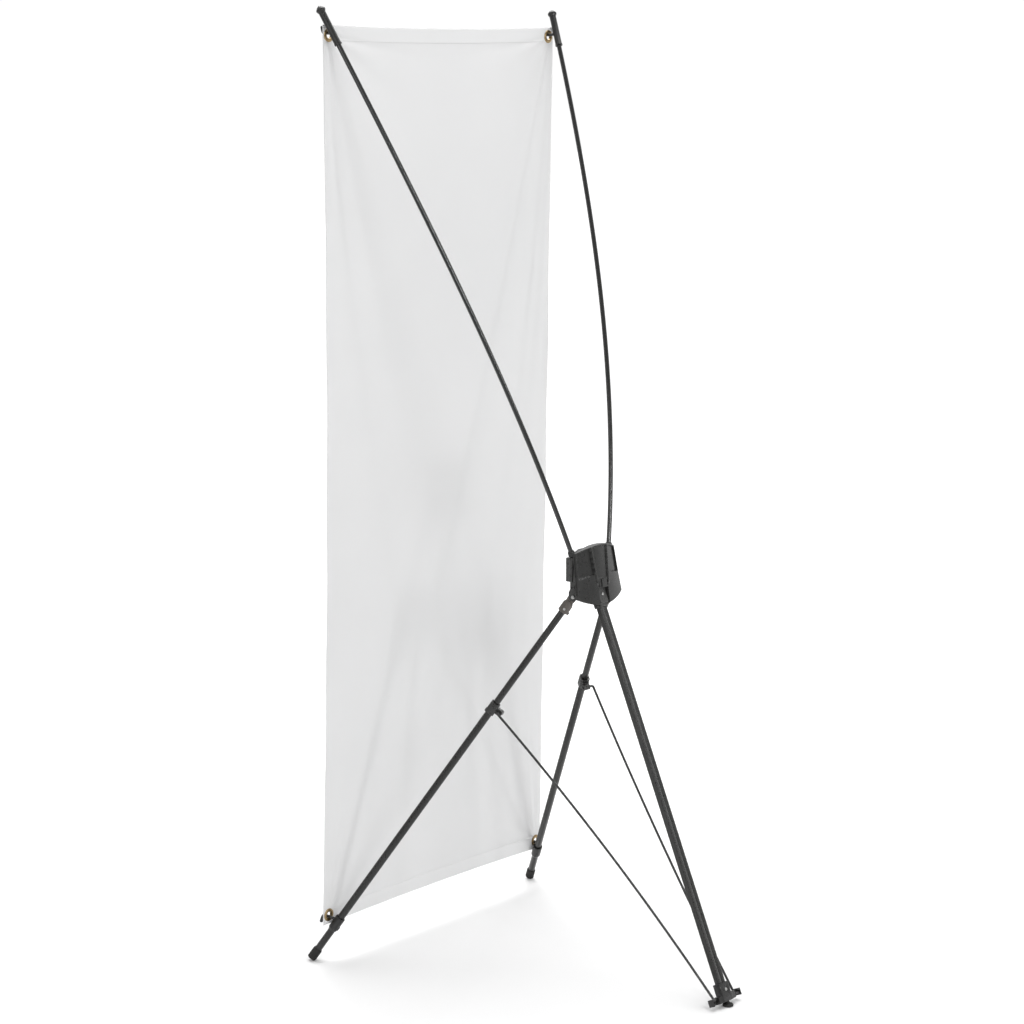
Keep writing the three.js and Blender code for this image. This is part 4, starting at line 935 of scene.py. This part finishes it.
def cloth_piece(name, points, faces, replaced, thickness):
    """A single layer of cloth that a modifier makes thick."""
    mesh = bpy.data.meshes.new(name)
    mesh.from_pydata([place(p) for p in points], [], faces)
    bm = bmesh.new()
    bm.from_mesh(mesh)
    bmesh.ops.delete(bm, geom=[v for v in bm.verts if not v.link_faces], context="VERTS")
    bmesh.ops.recalc_face_normals(bm, faces=bm.faces)
    bm.to_mesh(mesh)
    bm.free()
    obj = finish_mesh(name, mesh, "banner", cloth, replaced, 60)
    skin = obj.modifiers.new("thickness", "SOLIDIFY")
    skin.thickness = thickness * MM
    skin.offset = 0
    return obj


def make_banner():
    """The stretched sheet, and the hems folded over along its lower and upper ends."""
    us = grid_lines(-BANNER_W / 2, BANNER_W / 2, (-GROMMET_X, GROMMET_X), 1.5, 11)
    vs = grid_lines(0, BANNER_H, (GROMMET_END, BANNER_H - GROMMET_END), 1.5, 11)
    rows = list(range(len(vs)))
    points = [[banner_point(u, v) for u in us] for v in vs]
    sheet = cloth_piece("banner_fine", [p for line in points for p in line], banner_quads(us, vs, rows),
                        ["banner"], SHEET_THICK)
    sheet.modifiers["thickness"].use_even_offset = True
    for name, ends in (("lower", [i for i in rows if vs[i] <= HEM_DEPTH]),
                       ("upper", [i for i in rows if vs[i] >= BANNER_H - HEM_DEPTH])):
        strip = [p + BANNER_N * HEM_LIFT for i in ends for p in points[i]]
        cloth_piece(f"banner_hem_{name}", strip, banner_quads(us, vs, ends), [], HEM_THICK)


def make_eyelets():
    """Each eyelet is a rolled ring at the rear whose barrel goes through the sheet into a washer in front."""
    inner, outer, flange = 6.0, 6.8, 12.0
    back, front = 0.8, -0.8
    ring = [(inner, front - 1.8), (outer, front - 1.8), (outer, back), (flange, back),
            (flange - 0.6, back + 0.9), (flange - 2.2, back + 1.7), (outer + 1.2, back + 2.0),
            (inner + 0.2, back + 1.5), (inner, back + 0.6)]
    washer = [(outer + 0.3, front - 1.2), (flange - 1, front - 1.2), (flange, front - 0.4), (flange, front),
              (outer + 0.3, front)]
    for level, centre in (("lower", LOW_GROMMET), ("upper", TOP_GROMMET)):
        turn = axes_at(centre, vec(1, 0, 0), BANNER_U, BANNER_N)
        for part, profile in (("ring", ring), ("washer", washer)):
            form = Form().add(*lathe(soften(profile, 0.5, 3, True), 56, True), turn)
            for side, shape in (("right", form), ("left", form.mirrored())):
                node = f"grommet_{part}_{level}_{side}"
                piece(node + "_fine", shape, "banner", brass, [node])


# ------------------------------------------------------------------ carried-over CAD shapes

def make_mechanical_parts():
    """CAD shapes that are fine as they are, with their edges broken."""
    eased("rear_foot_crossbar", "rear_leg", cap_plastic, 0.5)
    eased("rear_foot_pad", "rear_leg", rubber, 0.5)
    for side in ("right", "left"):
        eased(f"slide_collar_{side}", f"collar_{side}", hub_plastic, 0.6)
        eased(f"leg_pin_{side}", "hub", steel, 0.3)
    for name in ("top", "left", "right"):
        eased(f"hub_screw_{name}", "hub", steel, 0.2)
    eased("rear_leg_pin", "hub", steel, 0.3)
    eased("rear_foot_rivet", "rear_leg", steel, 0.3)


# ------------------------------------------------------------------ stage, light and camera

# The direction the stand is photographed from. The floor and the room are toned along it.
BACK = vec(0.7480, 0.6395, 0.1776)
FLOOR_HALF = 30             # metres
BRIGHT, ROOM = 1.02, 0.42   # the room behind the stand, and behind the camera


def toned(tree, kind, along):
    """Gives a function that makes a value change evenly along a fixed direction."""
    source = tree.nodes.new("ShaderNodeTexCoord")
    dot = tree.nodes.new("ShaderNodeVectorMath")
    dot.operation = "DOT_PRODUCT"
    dot.inputs[1].default_value = along
    link(tree, source, kind, dot, 0)

    def spread(low, high, first, last):
        span = tree.nodes.new("ShaderNodeMapRange")
        for name, value in (("From Min", low), ("From Max", high), ("To Min", first), ("To Max", last)):
            span.inputs[name].default_value = value
        link(tree, dot, "Value", span, "Value")
        return span
    return spread


def make_stage():
    """A pale floor that runs up to white behind the stand, and a room that is dimmer behind the camera."""
    mesh = bpy.data.meshes.new("floor")
    s = FLOOR_HALF
    mesh.from_pydata([(-s, -s, 0), (s, -s, 0), (s, s, 0), (-s, s, 0)], [], [[0, 1, 2, 3]])
    floor = bpy.data.objects.new("floor", mesh)
    bpy.context.scene.collection.objects.link(floor)
    m, tree, shader = new_material("floor_paint")
    spread = toned(tree, "Object", (BACK.x, BACK.y, 0))
    link(tree, spread(1.2, 5.0, 0.84, 0.5), "Result", shader, "Base Color")
    shader.inputs["Emission Color"].default_value = (1, 1, 1, 1)
    link(tree, spread(-3.0, -0.3, 0.6, 0.0), "Result", shader, "Emission Strength")
    shader.inputs["Roughness"].default_value = 0.9
    shader.inputs["Specular IOR Level"].default_value = 0.1
    mesh.materials.append(m)
    world = bpy.data.worlds.new("studio")
    world.use_nodes = True
    tree = world.node_tree
    spread = toned(tree, "Generated", tuple(BACK))
    link(tree, spread(-0.35, 0.45, BRIGHT, ROOM), "Result", tree.nodes["Background"], "Color")
    bpy.context.scene.world = world


def area_light(name, direction, distance, size, power, target=(0, 0, 0.8)):
    data = bpy.data.lights.new(name, "AREA")
    data.shape = "RECTANGLE"
    data.size, data.size_y = size
    data.energy = power
    light = bpy.data.objects.new(name, data)
    bpy.context.scene.collection.objects.link(light)
    d = Vector(direction).normalized()
    light.location = Vector(target) + d * distance
    light.rotation_mode = "QUATERNION"
    light.rotation_quaternion = (-d).to_track_quat("-Z", "Y")
    return light


def make_lights():
    """Three narrow keys draw the highlights on poles and tubes; the rest are broad and weak."""
    key = vec(0.295, 0.865, 0.406).normalized()
    aside = key.cross(vec(0, 0, 1)).normalized()
    for n, step in enumerate((-0.5, 0.0, 0.5)):
        area_light(f"key_{n}", key, 4.2, (0.13, 1.3), 13, target=tuple(vec(0, 0, 0.8) + aside * step))
    area_light("top", (-0.25, -0.1, 1), 3.2, (2.6, 2.6), 95, target=(0, -0.35, 0.3))
    area_light("fill", (0.95, 0.15, 0.35), 4.5, (2.4, 2.4), 30)
    area_light("rear", (-0.17, 0.94, 0.30), 4.2, (0.22, 0.5), 11)
    area_light("low", (0.05, 0.95, -0.28), 2.1, (0.30, 0.16), 3.2, target=(0, 0.05, 0.73))


CAMERA_AT = (3424, 3115, 1624)
CAMERA_AZ, CAMERA_EL = math.radians(130.52), math.radians(10.23)
CAMERA_LENS, SENSOR = 89.46, 36


def make_camera():
    data = bpy.data.cameras.new("camera")
    data.lens, data.sensor_width = CAMERA_LENS, SENSOR
    data.clip_end = 200
    camera = bpy.data.objects.new("camera", data)
    bpy.context.scene.collection.objects.link(camera)
    flat = math.cos(CAMERA_EL)
    back = vec(math.sin(CAMERA_AZ) * flat, -math.cos(CAMERA_AZ) * flat, math.sin(CAMERA_EL))
    camera.location = place(CAMERA_AT)
    camera.rotation_mode = "QUATERNION"
    camera.rotation_quaternion = (-back).to_track_quat("-Z", "Y")
    bpy.context.scene.camera = camera


make_camera()
make_stage()
make_lights()
make_poles()
make_caps()
make_legs()
make_lower_hooks()
make_rods()
make_rear_leg()
make_hub_cover()
make_hub_body()
make_leg_knuckles()
make_rear_knuckle()
make_banner()
make_eyelets()
make_mechanical_parts()
bpy.context.scene.view_settings.view_transform = "Standard"

bpy.context.view_layer.update()
